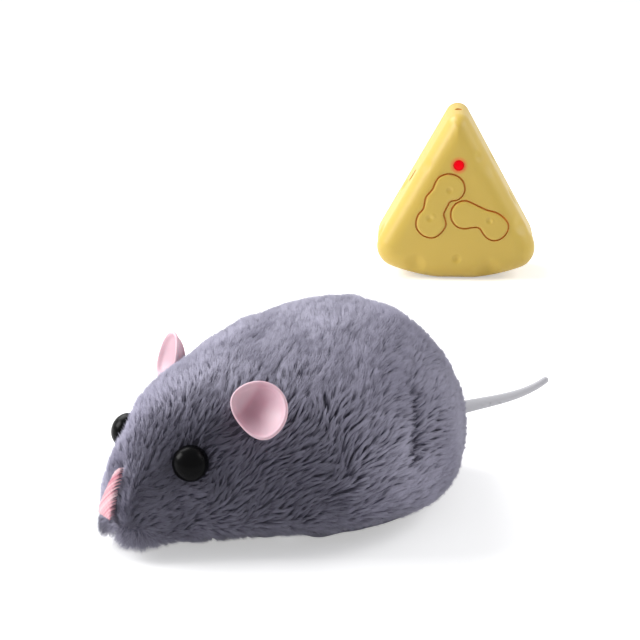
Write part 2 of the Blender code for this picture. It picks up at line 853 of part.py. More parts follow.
# Front wheel: a fork that swivels between straight ahead and one side
STEER_SHARE = -0.30603
STEER_Y = STEER_SHARE * BODY_LENGTH
STEER_TRAIL = 0.003
FRONT_WHEEL_RADIUS = 0.005
FRONT_WHEEL_WIDTH = 0.004
FORK_CHEEK = 0.0014
FORK_TOP = 0.0125
FORK_TOP_THICKNESS = 0.0015
FORK_STUD_RADIUS = 0.0015
FORK_COLLAR_RADIUS = 0.003
BRIDGE_BOTTOM = 0.0155
BRIDGE_THICKNESS = 0.0015
BRIDGE_HALF_WIDTH = 0.0104
BRIDGE_DEPTH = 0.008
BRIDGE_LEG = 0.0018
FRONT_PIN_RADIUS = 0.0006


def steering_opening_radius():
    return STEER_TRAIL + FRONT_WHEEL_RADIUS + 2 * SEAT_GAP


def front_wheel(mouse):
    swivel = group("front_swivel", (0, STEER_Y, 0), mouse)
    inner = FRONT_WHEEL_WIDTH / 2 + SEAT_GAP
    outer = inner + FORK_CHEEK
    reach = FRONT_WHEEL_RADIUS * 0.6
    low_y = -FORK_COLLAR_RADIUS
    high_y = STEER_TRAIL + reach
    fork = piece(
        "front_fork",
        box((-outer, low_y, FORK_TOP - FORK_TOP_THICKNESS), (outer, high_y, FORK_TOP)),
        swivel,
        BLACK_ABS,
    )
    cheek_low = FRONT_WHEEL_RADIUS * 0.6
    cheeks = [
        box((low_x, STEER_TRAIL - reach, cheek_low), (high_x, high_y, FORK_TOP))
        for low_x, high_x in ((-outer, -inner), (inner, outer))
    ]
    for name, cheek in zip(("left_cheek", "right_cheek"), cheeks):
        join(fork, name, cheek)
    stud_top = BRIDGE_BOTTOM + BRIDGE_THICKNESS + SEAT_GAP
    stud = turned(
        [
            (FORK_COLLAR_RADIUS * 0.9, FORK_TOP - FORK_TOP_THICKNESS / 2),
            (FORK_COLLAR_RADIUS * 0.9, BRIDGE_BOTTOM - SEAT_GAP),
            (FORK_STUD_RADIUS, BRIDGE_BOTTOM - SEAT_GAP),
            (FORK_STUD_RADIUS, stud_top),
        ],
        16,
    )
    join(fork, "stud", stud)
    stud_bore = SCREW_SHANK * 0.6
    cut(fork, "bore", rod(stud_bore + RUN_GAP, FORK_TOP, stud_top + OVERRUN))
    pin_hole = moved(rod(FRONT_PIN_RADIUS + RUN_GAP, -outer * 2, outer * 2), ALONG_X)
    place = Matrix.Translation((0, STEER_TRAIL, FRONT_WHEEL_RADIUS))
    cut(fork, "pin_hole", moved(pin_hole, place))
    keeper = turned(
        [
            (stud_bore, FORK_TOP + OVERRUN / 2),
            (stud_bore, stud_top + SEAT_GAP),
            (FORK_STUD_RADIUS * 1.7, stud_top + SEAT_GAP),
            (FORK_STUD_RADIUS * 1.5, stud_top + SEAT_GAP + SCREW_HEAD_HEIGHT),
        ]
    )
    piece("swivel_screw", keeper, swivel, STEEL)
    pin_end = outer - SEAT_GAP
    pin = moved(rod(FRONT_PIN_RADIUS, -pin_end, pin_end), place @ ALONG_X)
    piece("front_wheel_pin", pin, swivel, STEEL)

    roll = group("front_wheel_roll", place.translation, swivel)
    edge = FRONT_WHEEL_WIDTH * 0.2
    half = FRONT_WHEEL_WIDTH / 2
    profile = [
        (FRONT_PIN_RADIUS + RUN_GAP, -half),
        (FRONT_WHEEL_RADIUS - edge, -half),
        (FRONT_WHEEL_RADIUS, -half + edge),
        (FRONT_WHEEL_RADIUS, half - edge),
        (FRONT_WHEEL_RADIUS - edge, half),
        (FRONT_PIN_RADIUS + RUN_GAP, half),
    ]
    piece("front_wheel", moved(turned_ring(profile), ALONG_X), roll, BLACK_ABS)

    foot = PLATE_TOP + SEAT_GAP
    top = BRIDGE_BOTTOM + BRIDGE_THICKNESS
    arch = [
        (-BRIDGE_HALF_WIDTH, foot),
        (-BRIDGE_HALF_WIDTH + BRIDGE_LEG, foot),
        (-BRIDGE_HALF_WIDTH + BRIDGE_LEG, BRIDGE_BOTTOM),
        (BRIDGE_HALF_WIDTH - BRIDGE_LEG, BRIDGE_BOTTOM),
        (BRIDGE_HALF_WIDTH - BRIDGE_LEG, foot),
        (BRIDGE_HALF_WIDTH, foot),
        (BRIDGE_HALF_WIDTH, top),
        (-BRIDGE_HALF_WIDTH, top),
    ]
    across = Matrix(((1, 0, 0, 0), (0, 0, -1, STEER_Y), (0, 1, 0, 0), (0, 0, 0, 1)))
    bridge = piece(
        "steering_bridge",
        moved(prism(arch, -BRIDGE_DEPTH / 2, BRIDGE_DEPTH / 2), across),
        mouse,
        WHITE_ABS,
    )
    hole = rod(FORK_STUD_RADIUS + RUN_GAP, 0, top + OVERRUN, 16, (0, STEER_Y))
    cut(bridge, "pivot_hole", hole)


# Battery pack, its cover and the circuit board over it
PACK_LENGTH = 0.030
PACK_WIDTH = 0.017
PACK_THICKNESS = 0.008
PACK_SIZE = (PACK_LENGTH, PACK_WIDTH, PACK_THICKNESS)
PACK_SHARE = -0.125
PACK_Y = PACK_SHARE * BODY_LENGTH
COVER_MARGIN = 0.001
BAY_WALL = 0.0012
BOARD_THICKNESS = 0.0012
BOARD_RISE = 0.0023
BOARD_LOW = PLATE_TOP + PACK_THICKNESS + BOARD_RISE + SEAT_GAP
RECEIVER_LENGTH = 0.006
RECEIVER_WIDTH = 0.005
RECEIVER_HEIGHT = 0.007
RECEIVER_SIZE = (RECEIVER_LENGTH, RECEIVER_WIDTH, RECEIVER_HEIGHT)
COVER_SCREW_GAP = 0.0032
COVER_EAR = 0.0022
COVER_SCREW_X = PACK_LENGTH / 2 + COVER_SCREW_GAP

# Switch and charging socket, on the left of the rear of the chassis
SWITCH_X = 0.0148
SWITCH_SHARE = 0.24828
SWITCH_Y = SWITCH_SHARE * BODY_LENGTH
SWITCH_LENGTH = 0.008
SWITCH_WIDTH = 0.0044
SWITCH_HEIGHT = 0.004
SWITCH_PLACE = (SWITCH_X, SWITCH_Y)
SWITCH_SIZE = (SWITCH_LENGTH, SWITCH_WIDTH, SWITCH_HEIGHT)
SWITCH_TRAVEL = 0.002
SLIDER_LENGTH = 0.0024
SLIDER_WIDTH = 0.0018
SLIDER_SIZE = (SLIDER_LENGTH, SLIDER_WIDTH)
SLIDER_REACH = 0.0012
SOCKET_X = 0.013
SOCKET_SHARE = 0.30603
SOCKET_Y = SOCKET_SHARE * BODY_LENGTH
SOCKET_LENGTH = 0.008
SOCKET_WIDTH = 0.0034
SOCKET_HEIGHT = 0.006
SOCKET_PLACE = (SOCKET_X, SOCKET_Y)
SOCKET_SIZE = (SOCKET_LENGTH, SOCKET_WIDTH, SOCKET_HEIGHT)
SOCKET_MOUTH_MARGIN = 0.0007

# Upright plates that carry the gear train
GEAR_PLATE = 0.0014
GEAR_PLATE_LEFT_X = 0.0096
GEAR_PLATE_RIGHT_X = 0.0006
AXLE_RIB_X = 0.0134
GEAR_PLATE_MARGIN = 0.0035
SUMP_WALL = 0.0012


def centred(centre, size, low, grow=0.0):
    """A box of the given plan size about a place, standing on low."""
    half_x = size[0] / 2 + grow
    half_y = size[1] / 2 + grow
    return box(
        (centre[0] - half_x, centre[1] - half_y, low),
        (centre[0] + half_x, centre[1] + half_y, low + size[2]),
    )


def chassis_plate(mouse):
    """Flat plate with a sump under the axle gear, ribs for the gear train and its
    openings for wheels, cover, switch, socket and screws."""
    outline = body_outline(PLUSH_THICKNESS + SEAT_GAP, PLATE_BOTTOM)
    plate = piece("chassis", prism(outline, PLATE_BOTTOM, PLATE_TOP), mouse, BLACK_ABS)
    gear_tip = gear_radius(AXLE_TEETH) + GEAR_MODULE
    sump_half = math.sqrt(gear_tip**2 - (AXLE_Z - PLATE_TOP) ** 2) + SEAT_GAP
    slot_low = (AXLE_GEAR_X - 2 * SEAT_GAP, AXLE_Y - sump_half, AXLE_Z - gear_tip)
    slot_high = (
        AXLE_GEAR_X + GEAR_WIDTH + 2 * SEAT_GAP,
        AXLE_Y + sump_half,
        PLATE_TOP + OVERRUN,
    )
    slot_floor = slot_low[2] - SEAT_GAP
    join(
        plate,
        "sump",
        box(
            (slot_low[0] - SUMP_WALL, slot_low[1] - SUMP_WALL, slot_floor - SUMP_WALL),
            (slot_high[0] + SUMP_WALL, slot_high[1] + SUMP_WALL, PLATE_TOP - SEAT_GAP),
        ),
    )
    idler_y, idler_z = idler_place()
    motor_y, motor_z = motor_place()
    sunk = PLATE_TOP - PLATE_THICKNESS / 2
    low_y = AXLE_Y - GEAR_PLATE_MARGIN
    high_y = idler_y + GEAR_PLATE_MARGIN
    motor_end = motor_y + GEAR_PLATE_MARGIN + gear_radius(PINION_TEETH)
    high_z = idler_z + GEAR_PLATE_MARGIN
    motor_top = motor_z + GEAR_PLATE_MARGIN + gear_radius(PINION_TEETH)
    ribs = {
        "gear_plate_left": (
            GEAR_PLATE_LEFT_X,
            [(low_y, sunk), (high_y, sunk), (high_y, high_z), (low_y, high_z)],
        ),
        "gear_plate_right": (
            GEAR_PLATE_RIGHT_X,
            [
                (low_y, sunk),
                (motor_end, sunk),
                (motor_end, motor_top),
                (high_y, high_z),
                (low_y, high_z),
            ],
        ),
    }
    rib_top = AXLE_Z + GEAR_PLATE_MARGIN
    rib_end = AXLE_Y + GEAR_PLATE_MARGIN
    post = [(low_y, sunk), (rib_end, sunk), (rib_end, rib_top), (low_y, rib_top)]
    ribs["axle_rib_left"] = (AXLE_RIB_X, post)
    ribs["axle_rib_right"] = (-AXLE_RIB_X - GEAR_PLATE, post)
    for name, (x, shape) in ribs.items():
        join(plate, name, moved(prism(shape, x, x + GEAR_PLATE), ALONG_X))

    half_x = PACK_LENGTH / 2 + SEAT_GAP
    half_y = PACK_WIDTH / 2 + SEAT_GAP
    wall_top = BOARD_LOW - SEAT_GAP
    for name, low_x, high_x in (
        ("bay_wall_left", half_x, half_x + BAY_WALL),
        ("bay_wall_right", -half_x - BAY_WALL, -half_x),
    ):
        wall = box((low_x, PACK_Y - half_y, sunk), (high_x, PACK_Y + half_y, wall_top))
        join(plate, name, wall)

    cut(plate, "gear_slot", box((*slot_low[:2], slot_floor), slot_high))
    wheel_room = 2 * SEAT_GAP
    chord = math.sqrt(WHEEL_RADIUS**2 - (AXLE_Z - PLATE_TOP) ** 2) + wheel_room
    wells = [
        box(
            (low - wheel_room, AXLE_Y - chord, 0),
            (high + wheel_room, AXLE_Y + chord, PLATE_TOP + OVERRUN),
        )
        for low, high in (
            (WHEEL_INNER_X, WHEEL_TRACK_END),
            (-WHEEL_TRACK_END, -WHEEL_INNER_X),
        )
    ]
    cover_hole = centred(
        (0, PACK_Y),
        (
            PACK_LENGTH - 2 * COVER_MARGIN,
            PACK_WIDTH - 2 * COVER_MARGIN,
            PLATE_TOP + OVERRUN,
        ),
        0,
    )
    steering = rod(
        steering_opening_radius(), 0, PLATE_TOP + OVERRUN, ROUND_SIDES, (0, STEER_Y)
    )
    slider_slot = centred(
        SWITCH_PLACE,
        (SLIDER_SIZE[0] + SWITCH_TRAVEL, SLIDER_SIZE[1], PLATE_TOP + OVERRUN),
        0,
        SEAT_GAP,
    )
    socket_hole = centred(
        SOCKET_PLACE, (SOCKET_SIZE[0], SOCKET_SIZE[1], PLATE_TOP + OVERRUN), 0, SEAT_GAP
    )
    screw_holes = [
        rod(SCREW_SHANK + RUN_GAP, 0, PLATE_TOP + OVERRUN, centre=place)
        for place in [*screw_points(), (COVER_SCREW_X, PACK_Y)]
    ]
    openings = [*wells, cover_hole, steering, slider_slot, socket_hole, *screw_holes]
    cut(plate, "openings", merged(openings))
    axle_line = [
        moved(
            rod(AXLE_RADIUS + RUN_GAP, -BODY_WIDTH / 2, BODY_WIDTH / 2),
            Matrix.Translation((0, AXLE_Y, AXLE_Z)) @ ALONG_X,
        ),
        moved(
            rod(IDLER_PIN_RADIUS + RUN_GAP, 0, BODY_WIDTH / 2),
            Matrix.Translation((0, idler_y, idler_z)) @ ALONG_X,
        ),
        moved(
            rod(gear_radius(PINION_TEETH) + GEAR_MODULE + SEAT_GAP, 0, PINION_X, 16),
            Matrix.Translation((0, motor_y, motor_z)) @ ALONG_X,
        ),
    ]
    cut(plate, "shaft_holes", merged(axle_line))
    return plate


def power_and_board(mouse):
    """Battery pack and its cover, circuit board, infrared receiver, switch and socket."""
    pack_low = PLATE_TOP + SEAT_GAP
    piece(
        "battery_pack",
        centred((0, PACK_Y), PACK_SIZE, pack_low),
        mouse,
        ((0.12, 0.22, 0.42), 0.35, 0.0),
    )
    skirt = PACK_LENGTH / 2 + COVER_MARGIN
    cover_low = PLATE_BOTTOM - SEAT_GAP - BAY_WALL
    lid = piece(
        "battery_cover",
        box(
            (-skirt, PACK_Y - PACK_WIDTH / 2, cover_low),
            (skirt, PACK_Y + PACK_WIDTH / 2, PLATE_BOTTOM - SEAT_GAP),
        ),
        mouse,
        BLACK_ABS,
    )
    ear = box(
        (skirt - OVERRUN, PACK_Y - COVER_EAR * 1.3, cover_low),
        (COVER_SCREW_X + COVER_EAR, PACK_Y + COVER_EAR * 1.3, PLATE_BOTTOM - SEAT_GAP),
    )
    join(lid, "ear", ear)
    plug = centred(
        (0, PACK_Y),
        (
            PACK_LENGTH - 2 * COVER_MARGIN - 2 * SEAT_GAP,
            PACK_WIDTH - 2 * COVER_MARGIN - 2 * SEAT_GAP,
            PLATE_TOP - cover_low - BAY_WALL / 2,
        ),
        cover_low + BAY_WALL / 2,
    )
    join(lid, "plug", plug)
    hole = rod(SCREW_SHANK + RUN_GAP, 0, PLATE_BOTTOM, centre=(COVER_SCREW_X, PACK_Y))
    cut(lid, "screw_hole", hole)
    place = Matrix.Translation((COVER_SCREW_X, PACK_Y, cover_low - SEAT_GAP))
    cover_screw = screw_mesh(PLATE_TOP - cover_low + SEAT_GAP)
    piece("battery_cover_screw", moved(cover_screw, place), mouse, STEEL)

    board_half = PACK_LENGTH / 2 + SEAT_GAP + BAY_WALL
    board_y = PACK_WIDTH / 2 + BAY_WALL
    board_top = BOARD_LOW + BOARD_THICKNESS
    piece(
        "circuit_board",
        box((-board_half, PACK_Y - board_y, BOARD_LOW), (board_half, PACK_Y + board_y, board_top)),
        mouse,
        BOARD_GREEN,
    )
    piece(
        "infrared_receiver",
        centred((0, PACK_Y), RECEIVER_SIZE, board_top + SEAT_GAP),
        mouse,
        ((0.03, 0.01, 0.02), 0.2, 0.0),
    )

    body_low = PLATE_TOP + SEAT_GAP
    housing = piece(
        "switch_body", centred(SWITCH_PLACE, SWITCH_SIZE, body_low), mouse, STEEL
    )
    track = (SLIDER_SIZE[0] + SWITCH_TRAVEL, SLIDER_SIZE[1], SWITCH_SIZE[2] / 2 + OVERRUN)
    cut(housing, "track", centred(SWITCH_PLACE, track, body_low - OVERRUN, SEAT_GAP))
    slide = group("switch_slide", (*SWITCH_PLACE, PLATE_BOTTOM), mouse)
    knob_x = -SWITCH_TRAVEL / 2
    knob_low = -SLIDER_REACH
    knob_high = body_low + SWITCH_SIZE[2] / 2 - SEAT_GAP - PLATE_BOTTOM
    knob = centred((knob_x, 0), (*SLIDER_SIZE, knob_high - knob_low), knob_low)
    piece("switch_slider", knob, slide, BLACK_ABS)

    socket_low = PLATE_BOTTOM
    socket = piece(
        "charging_socket",
        centred(SOCKET_PLACE, SOCKET_SIZE, socket_low),
        mouse,
        STEEL,
    )
    mouth = (SOCKET_SIZE[0], SOCKET_SIZE[1], SOCKET_SIZE[2] * 0.7)
    cut(
        socket,
        "mouth",
        centred(SOCKET_PLACE, mouth, socket_low - OVERRUN, -SOCKET_MOUTH_MARGIN),
    )

    for number, (x, y) in enumerate(screw_points(), 1):
        place = Matrix.Translation((x, y, PLATE_BOTTOM - SEAT_GAP))
        piece(f"chassis_screw_{number}", moved(screw_mesh(), place), mouse, STEEL)


def wedge_outline(inset, foot_lift):
    """Outline of the cheese slice in width and height, drawn in by inset, standing on
    the flat at its foot. Counter-clockwise as seen from the front."""
    reach = RIND_RADIUS - CORNER_RADIUS
    turn = HALF_ANGLE - math.asin(CORNER_RADIUS / reach)
    corner = np.array([reach * math.sin(turn), RIND_RADIUS - reach * math.cos(turn)])
    point = np.array([0, RIND_RADIUS - POINT_RADIUS / math.sin(HALF_ANGLE)])
    side = math.pi / 2 - HALF_ANGLE

    def arc(centre, radius, start, end, steps):
        """Points at angles measured from straight up, positive to the right."""
        angles = np.linspace(start, end, steps)
        return np.column_stack(
            [centre[0] + radius * np.sin(angles), centre[1] + radius * np.cos(angles)]
        )

    right = arc(corner, CORNER_RADIUS - inset, math.pi - turn, side, 6)
    top = arc(point, POINT_RADIUS - inset, side, -side, 6)
    left = arc(corner * (-1, 1), CORNER_RADIUS - inset, -side, turn - math.pi, 6)
    rind = arc((0, RIND_RADIUS), RIND_RADIUS - inset, turn - math.pi, -math.pi, 5)
    rind_right = arc((0, RIND_RADIUS), RIND_RADIUS - inset, math.pi, math.pi - turn, 5)
    outline = np.concatenate([right, top, left, rind[1:], rind_right[1:-1]])
    outline[:, 1] = np.maximum(outline[:, 1] - foot_lift, inset)
    return outline


def wedge(steps):
    """A solid through outlines at each depth and inset, from the front to the back."""
    foot_lift = RIND_RADIUS - math.sqrt(RIND_RADIUS**2 - FOOT_HALF_WIDTH**2)
    rings = []
    for depth, inset in steps:
        flat = wedge_outline(inset, foot_lift)
        ring = np.column_stack([flat[:, 0], np.full(len(flat), depth), flat[:, 1]])
        rings.append(ring)
    return loft([ring[::-1] for ring in rings])


def edge_steps(depth, inset, radius, steps=3):
    """Depth and inset along a rounded front edge that starts at depth."""
    angles = [math.pi / 2 * k / steps for k in range(steps + 1)]
    return [
        (
            depth + radius * (1 - math.cos(angle)),
            inset + radius * (1 - math.sin(angle)),
        )
        for angle in angles
    ]


# Buttons: lobes on the front face as width, height and radius, and how far each waist
# between two lobes reaches from their middle line, right then left of it. All are
# shares of the rind's radius.
GO_LOBE_SHARES = ((-0.141, 0.331, 0.076), (-0.116, 0.441, 0.063), (-0.044, 0.527, 0.078))
GO_WAIST_SHARES = ((0.050, 0.056), (0.043, 0.064))
TURN_LOBE_SHARES = ((0.044, 0.384, 0.072), (0.203, 0.319, 0.074))
TURN_WAIST_SHARES = ((0.031, 0.067),)
BUTTON_PROUD = 0.0006
BUTTON_EDGE = 0.0004
BUTTON_GROOVE = 0.0004
BUTTON_FLANGE = 0.0005
BUTTON_FLANGE_THICKNESS = 0.001
BUTTON_TRAVEL = 0.0006
GO_KEY_SHARES = (-0.11, 0.436)
TURN_KEY_SHARES = (0.123, 0.358)
KEY_SIZE = 0.006
KEY_HEIGHT = 0.0032
KEY_STEM_RADIUS = 0.0015
KEY_STEM_LENGTH = 0.0013
KEY_PLUNGER_RADIUS = 0.0016
KEY_PLUNGER_LENGTH = 0.0015


def on_face(shares):
    return tuple(share * RIND_RADIUS for share in shares)


def lobed_outline(lobe_shares, waist_shares, grow):
    """Round lobes in a row, joined by narrower waists, counter-clockwise."""
    lobes = [on_face(shares) for shares in lobe_shares]
    waists = [on_face(shares) for shares in waist_shares]
    spread = math.radians(28)
    count = len(lobes)
    middles = [np.array(lobe[:2]) for lobe in lobes]
    ways = []
    for a, b in zip(middles, middles[1:]):
        ways.append(math.atan2(b[1] - a[1], b[0] - a[0]))
    quarter = math.pi / 2
    outline = []

    def arc(i, start, end, steps):
        for angle in np.linspace(start, end, steps):
            radius = lobes[i][2] + grow
            out = np.array([math.cos(angle), math.sin(angle)])
            outline.append(middles[i] + radius * out)

    def waist(i, side):
        way = ways[i] + side * quarter
        reach = waists[i][0 if side < 0 else 1] + grow
        middle = (middles[i] + middles[i + 1]) / 2
        outline.append(middle + reach * np.array([math.cos(way), math.sin(way)]))

    arc(0, ways[0] + quarter - spread, ways[0] + 3 * quarter + spread, 12)
    for i in range(1, count - 1):
        waist(i - 1, -1)
        arc(i, ways[i - 1] - quarter - spread, ways[i] - quarter + spread, 4)
    waist(count - 2, -1)
    arc(count - 1, ways[-1] - quarter - spread, ways[-1] + quarter + spread, 12)
    for i in range(count - 2, 0, -1):
        waist(i, 1)
        arc(i, ways[i] + quarter - spread, ways[i - 1] + quarter + spread, 4)
    waist(0, 1)
    return np.array(outline)


def face_prism(outline, low, high):
    """An outline on the remote's front face, extruded from depth low to high."""
    return face_loft([(outline, low), (outline, high)])


def face_loft(levels):
    rings = []
    for outline, depth in levels:
        ring = np.column_stack(
            [outline[:, 0], np.full(len(outline), depth), outline[:, 1]]
        )
        rings.append(ring[::-1])
    return loft(rings)


def face_rod(radius, low, high, centre, sides=SMALL_SIDES):
    return face_prism(circle(radius, sides, centre), low, high)


def face_box(low, high, low_depth, high_depth):
    corners = np.array(
        [(low[0], low[1]), (high[0], low[1]), (high[0], high[1]), (low[0], high[1])]
    )
    return face_prism(corners, low_depth, high_depth)


# Inside of the remote
BACK_SHELL_DEPTH = 0.0044
PARTING_DEPTH = REMOTE_DEPTH - BACK_SHELL_DEPTH
CELL_RADIUS = 0.00525
CELL_LENGTH = 0.0445
CELL_HEIGHT = 0.0138
CONTACT_THICKNESS = 0.0006
REMOTE_BAY_WALL = 0.0012
REMOTE_BOARD_TOP = 0.0500
KEY_SEAT_DEPTH = (
    REMOTE_WALL + SEAT_GAP + BUTTON_FLANGE_THICKNESS + KEY_STEM_LENGTH
    + SEAT_GAP + BUTTON_TRAVEL
)
BOARD_DEPTH = KEY_SEAT_DEPTH + KEY_HEIGHT + SEAT_GAP
DOOR_THICKNESS = 0.0016
DOOR_TAB_HALF_WIDTH = 0.004
DOOR_TAB_HEIGHT = 0.0062
LAMP_SHARES = (0, 0.659)
LAMP_RADIUS = 0.0018
LAMP_FLANGE = 0.0023
EMITTER_RADIUS = 0.0013
EMITTER_LENGTH = 0.0052
EMITTER_WINDOW_RADIUS = 0.0016
REMOTE_SCREW_LOW = 0.027
REMOTE_SCREW_HIGH = 0.0415
REMOTE_BOSS_START = 0.005
COUNTERBORE = 0.0015
REMOTE_SWITCH_HEIGHT = 0.0385
REMOTE_SWITCH_DEPTH = 0.0150
REMOTE_SWITCH_TRAVEL = 0.002
REMOTE_SLIDER_WIDTH = 0.0016
REMOTE_SLIDER_LENGTH = 0.0022


def bay_size():
    """Half width, lower and upper height, and front and back depth of the cells' bay."""
    half = CELL_LENGTH / 2 + 2 * SEAT_GAP + CONTACT_THICKNESS
    low = CELL_HEIGHT - CELL_RADIUS - SEAT_GAP
    high = CELL_HEIGHT + CELL_RADIUS + SEAT_GAP
    back = REMOTE_DEPTH - DOOR_THICKNESS - SEAT_GAP
    front = back - 4 * CELL_RADIUS - 2 * SEAT_GAP
    return half, low, high, front, back


def wedge_half_width(height):
    foot_lift = RIND_RADIUS - math.sqrt(RIND_RADIUS**2 - FOOT_HALF_WIDTH**2)
    return (RIND_RADIUS - foot_lift - height) * math.tan(HALF_ANGLE)


def remote_screws():
    """Screws whose bosses grow out of the side walls."""
    inward = (REMOTE_WALL + BOSS_RADIUS * 0.85) / math.cos(HALF_ANGLE)
    low = wedge_half_width(REMOTE_SCREW_LOW) - inward
    high = wedge_half_width(REMOTE_SCREW_HIGH) - inward
    return [(-low, REMOTE_SCREW_LOW), (low, REMOTE_SCREW_LOW), (high, REMOTE_SCREW_HIGH)]


def side_frame():
    """A frame on the left side face at the switch: X along the slope and upwards, Y
    into the depth and Z outwards."""
    normal = Vector((-math.cos(HALF_ANGLE), 0, math.sin(HALF_ANGLE)))
    along = Vector((math.sin(HALF_ANGLE), 0, math.cos(HALF_ANGLE)))
    across = normal.cross(along)
    half_width = wedge_half_width(REMOTE_SWITCH_HEIGHT)
    place = Vector((-half_width, REMOTE_SWITCH_DEPTH, REMOTE_SWITCH_HEIGHT))
    rotation = Matrix((along, across, normal)).transposed().to_4x4()
    return Matrix.Translation(place) @ rotation


def remote_shells(remote):
    half, low, high, front, back = bay_size()
    wall = REMOTE_WALL
    shell = piece(
        "remote_front_shell",
        wedge([*edge_steps(0, 0, EDGE_RADIUS), (PARTING_DEPTH, 0)]),
        remote,
        CHEESE,
    )
    inner_edge = edge_steps(wall, wall, EDGE_RADIUS - wall, 2)
    hollow = cut(
        shell, "hollow", wedge([*inner_edge, (PARTING_DEPTH + OVERRUN, wall)])
    )
    side_bosses = [
        face_rod(BOSS_RADIUS, REMOTE_BOSS_START, REMOTE_DEPTH, place)
        for place in remote_screws()
    ]
    cut(hollow, "bosses", merged(side_bosses))
    pilots = [
        face_rod(SCREW_SHANK + RUN_GAP, PARTING_DEPTH - SCREW_LENGTH, REMOTE_DEPTH, place)
        for place in remote_screws()
    ]
    holes = [
        face_prism(lobed_outline(lobes, waists, BUTTON_GROOVE), -OVERRUN, wall + OVERRUN)
        for lobes, waists in (
            (GO_LOBE_SHARES, GO_WAIST_SHARES),
            (TURN_LOBE_SHARES, TURN_WAIST_SHARES),
        )
    ]
    lamp = on_face(LAMP_SHARES)
    holes.append(
        face_rod(LAMP_RADIUS + SEAT_GAP, -OVERRUN, wall + OVERRUN, lamp, 16)
    )
    cut(shell, "face_holes", merged([*pilots, *holes]))
    window = rod(
        EMITTER_WINDOW_RADIUS, RIND_RADIUS * 0.8, RIND_RADIUS, 16, (0, REMOTE_DEPTH / 2)
    )
    cut(shell, "emitter_window", window)
    slot = box(
        (
            -(REMOTE_SLIDER_LENGTH + REMOTE_SWITCH_TRAVEL) / 2 - SEAT_GAP,
            -REMOTE_SLIDER_WIDTH / 2 - SEAT_GAP,
            -wall - OVERRUN / 2,
        ),
        (
            (REMOTE_SLIDER_LENGTH + REMOTE_SWITCH_TRAVEL) / 2 + SEAT_GAP,
            REMOTE_SLIDER_WIDTH / 2 + SEAT_GAP,
            OVERRUN,
        ),
    )
    cut(shell, "switch_slot", moved(slot, side_frame()))

    rear = edge_steps(0, 0, EDGE_RADIUS)
    rear_outer = [(REMOTE_DEPTH - depth, inset) for depth, inset in reversed(rear)]
    start = PARTING_DEPTH + SEAT_GAP
    steps = [(start, 0), *[step for step in rear_outer if step[0] > start]]
    back_shell = piece("remote_back_shell", wedge(steps), remote, CHEESE)
    rear_hollow = cut(
        back_shell,
        "hollow",
        wedge([(start - OVERRUN, wall + SEAT_GAP), (REMOTE_DEPTH - wall, wall + SEAT_GAP)]),
    )
    posts = [
        face_rod(BOSS_RADIUS, 0, REMOTE_DEPTH, place) for place in remote_screws()
    ]
    door_boss = face_rod(BOSS_RADIUS, start, REMOTE_DEPTH, door_screw_place())
    cut(rear_hollow, "posts", merged([*posts, door_boss]))
    bay = REMOTE_BAY_WALL
    join(
        back_shell,
        "bay",
        face_box(
            (-half - bay, low - bay), (half + bay, high + bay), front - bay, back + bay / 2
        ),
    )
    cut(back_shell, "bay_hollow", face_box((-half, low), (half, high), front, back + wall * 2))
    tab_x = DOOR_TAB_HALF_WIDTH
    tab_hole = face_box(
        (-tab_x - SEAT_GAP, high - bay),
        (tab_x + SEAT_GAP, high + DOOR_TAB_HEIGHT + SEAT_GAP),
        back,
        back + wall * 2,
    )
    cut(back_shell, "tab_seat", tab_hole)
    bores = []
    for place in remote_screws():
        head = face_rod(
            SCREW_HEAD + SEAT_GAP,
            REMOTE_DEPTH - COUNTERBORE,
            REMOTE_DEPTH + OVERRUN,
            place,
        )
        bores.append(head)
    cut(back_shell, "counterbores", merged(bores))
    shanks = [
        face_rod(SCREW_SHANK + RUN_GAP, 0, REMOTE_DEPTH, place)
        for place in (*remote_screws(), door_screw_place())
    ]
    cut(back_shell, "screw_holes", merged(shanks))


def door_screw_place():
    high = bay_size()[2]
    return 0, high + DOOR_TAB_HEIGHT / 2


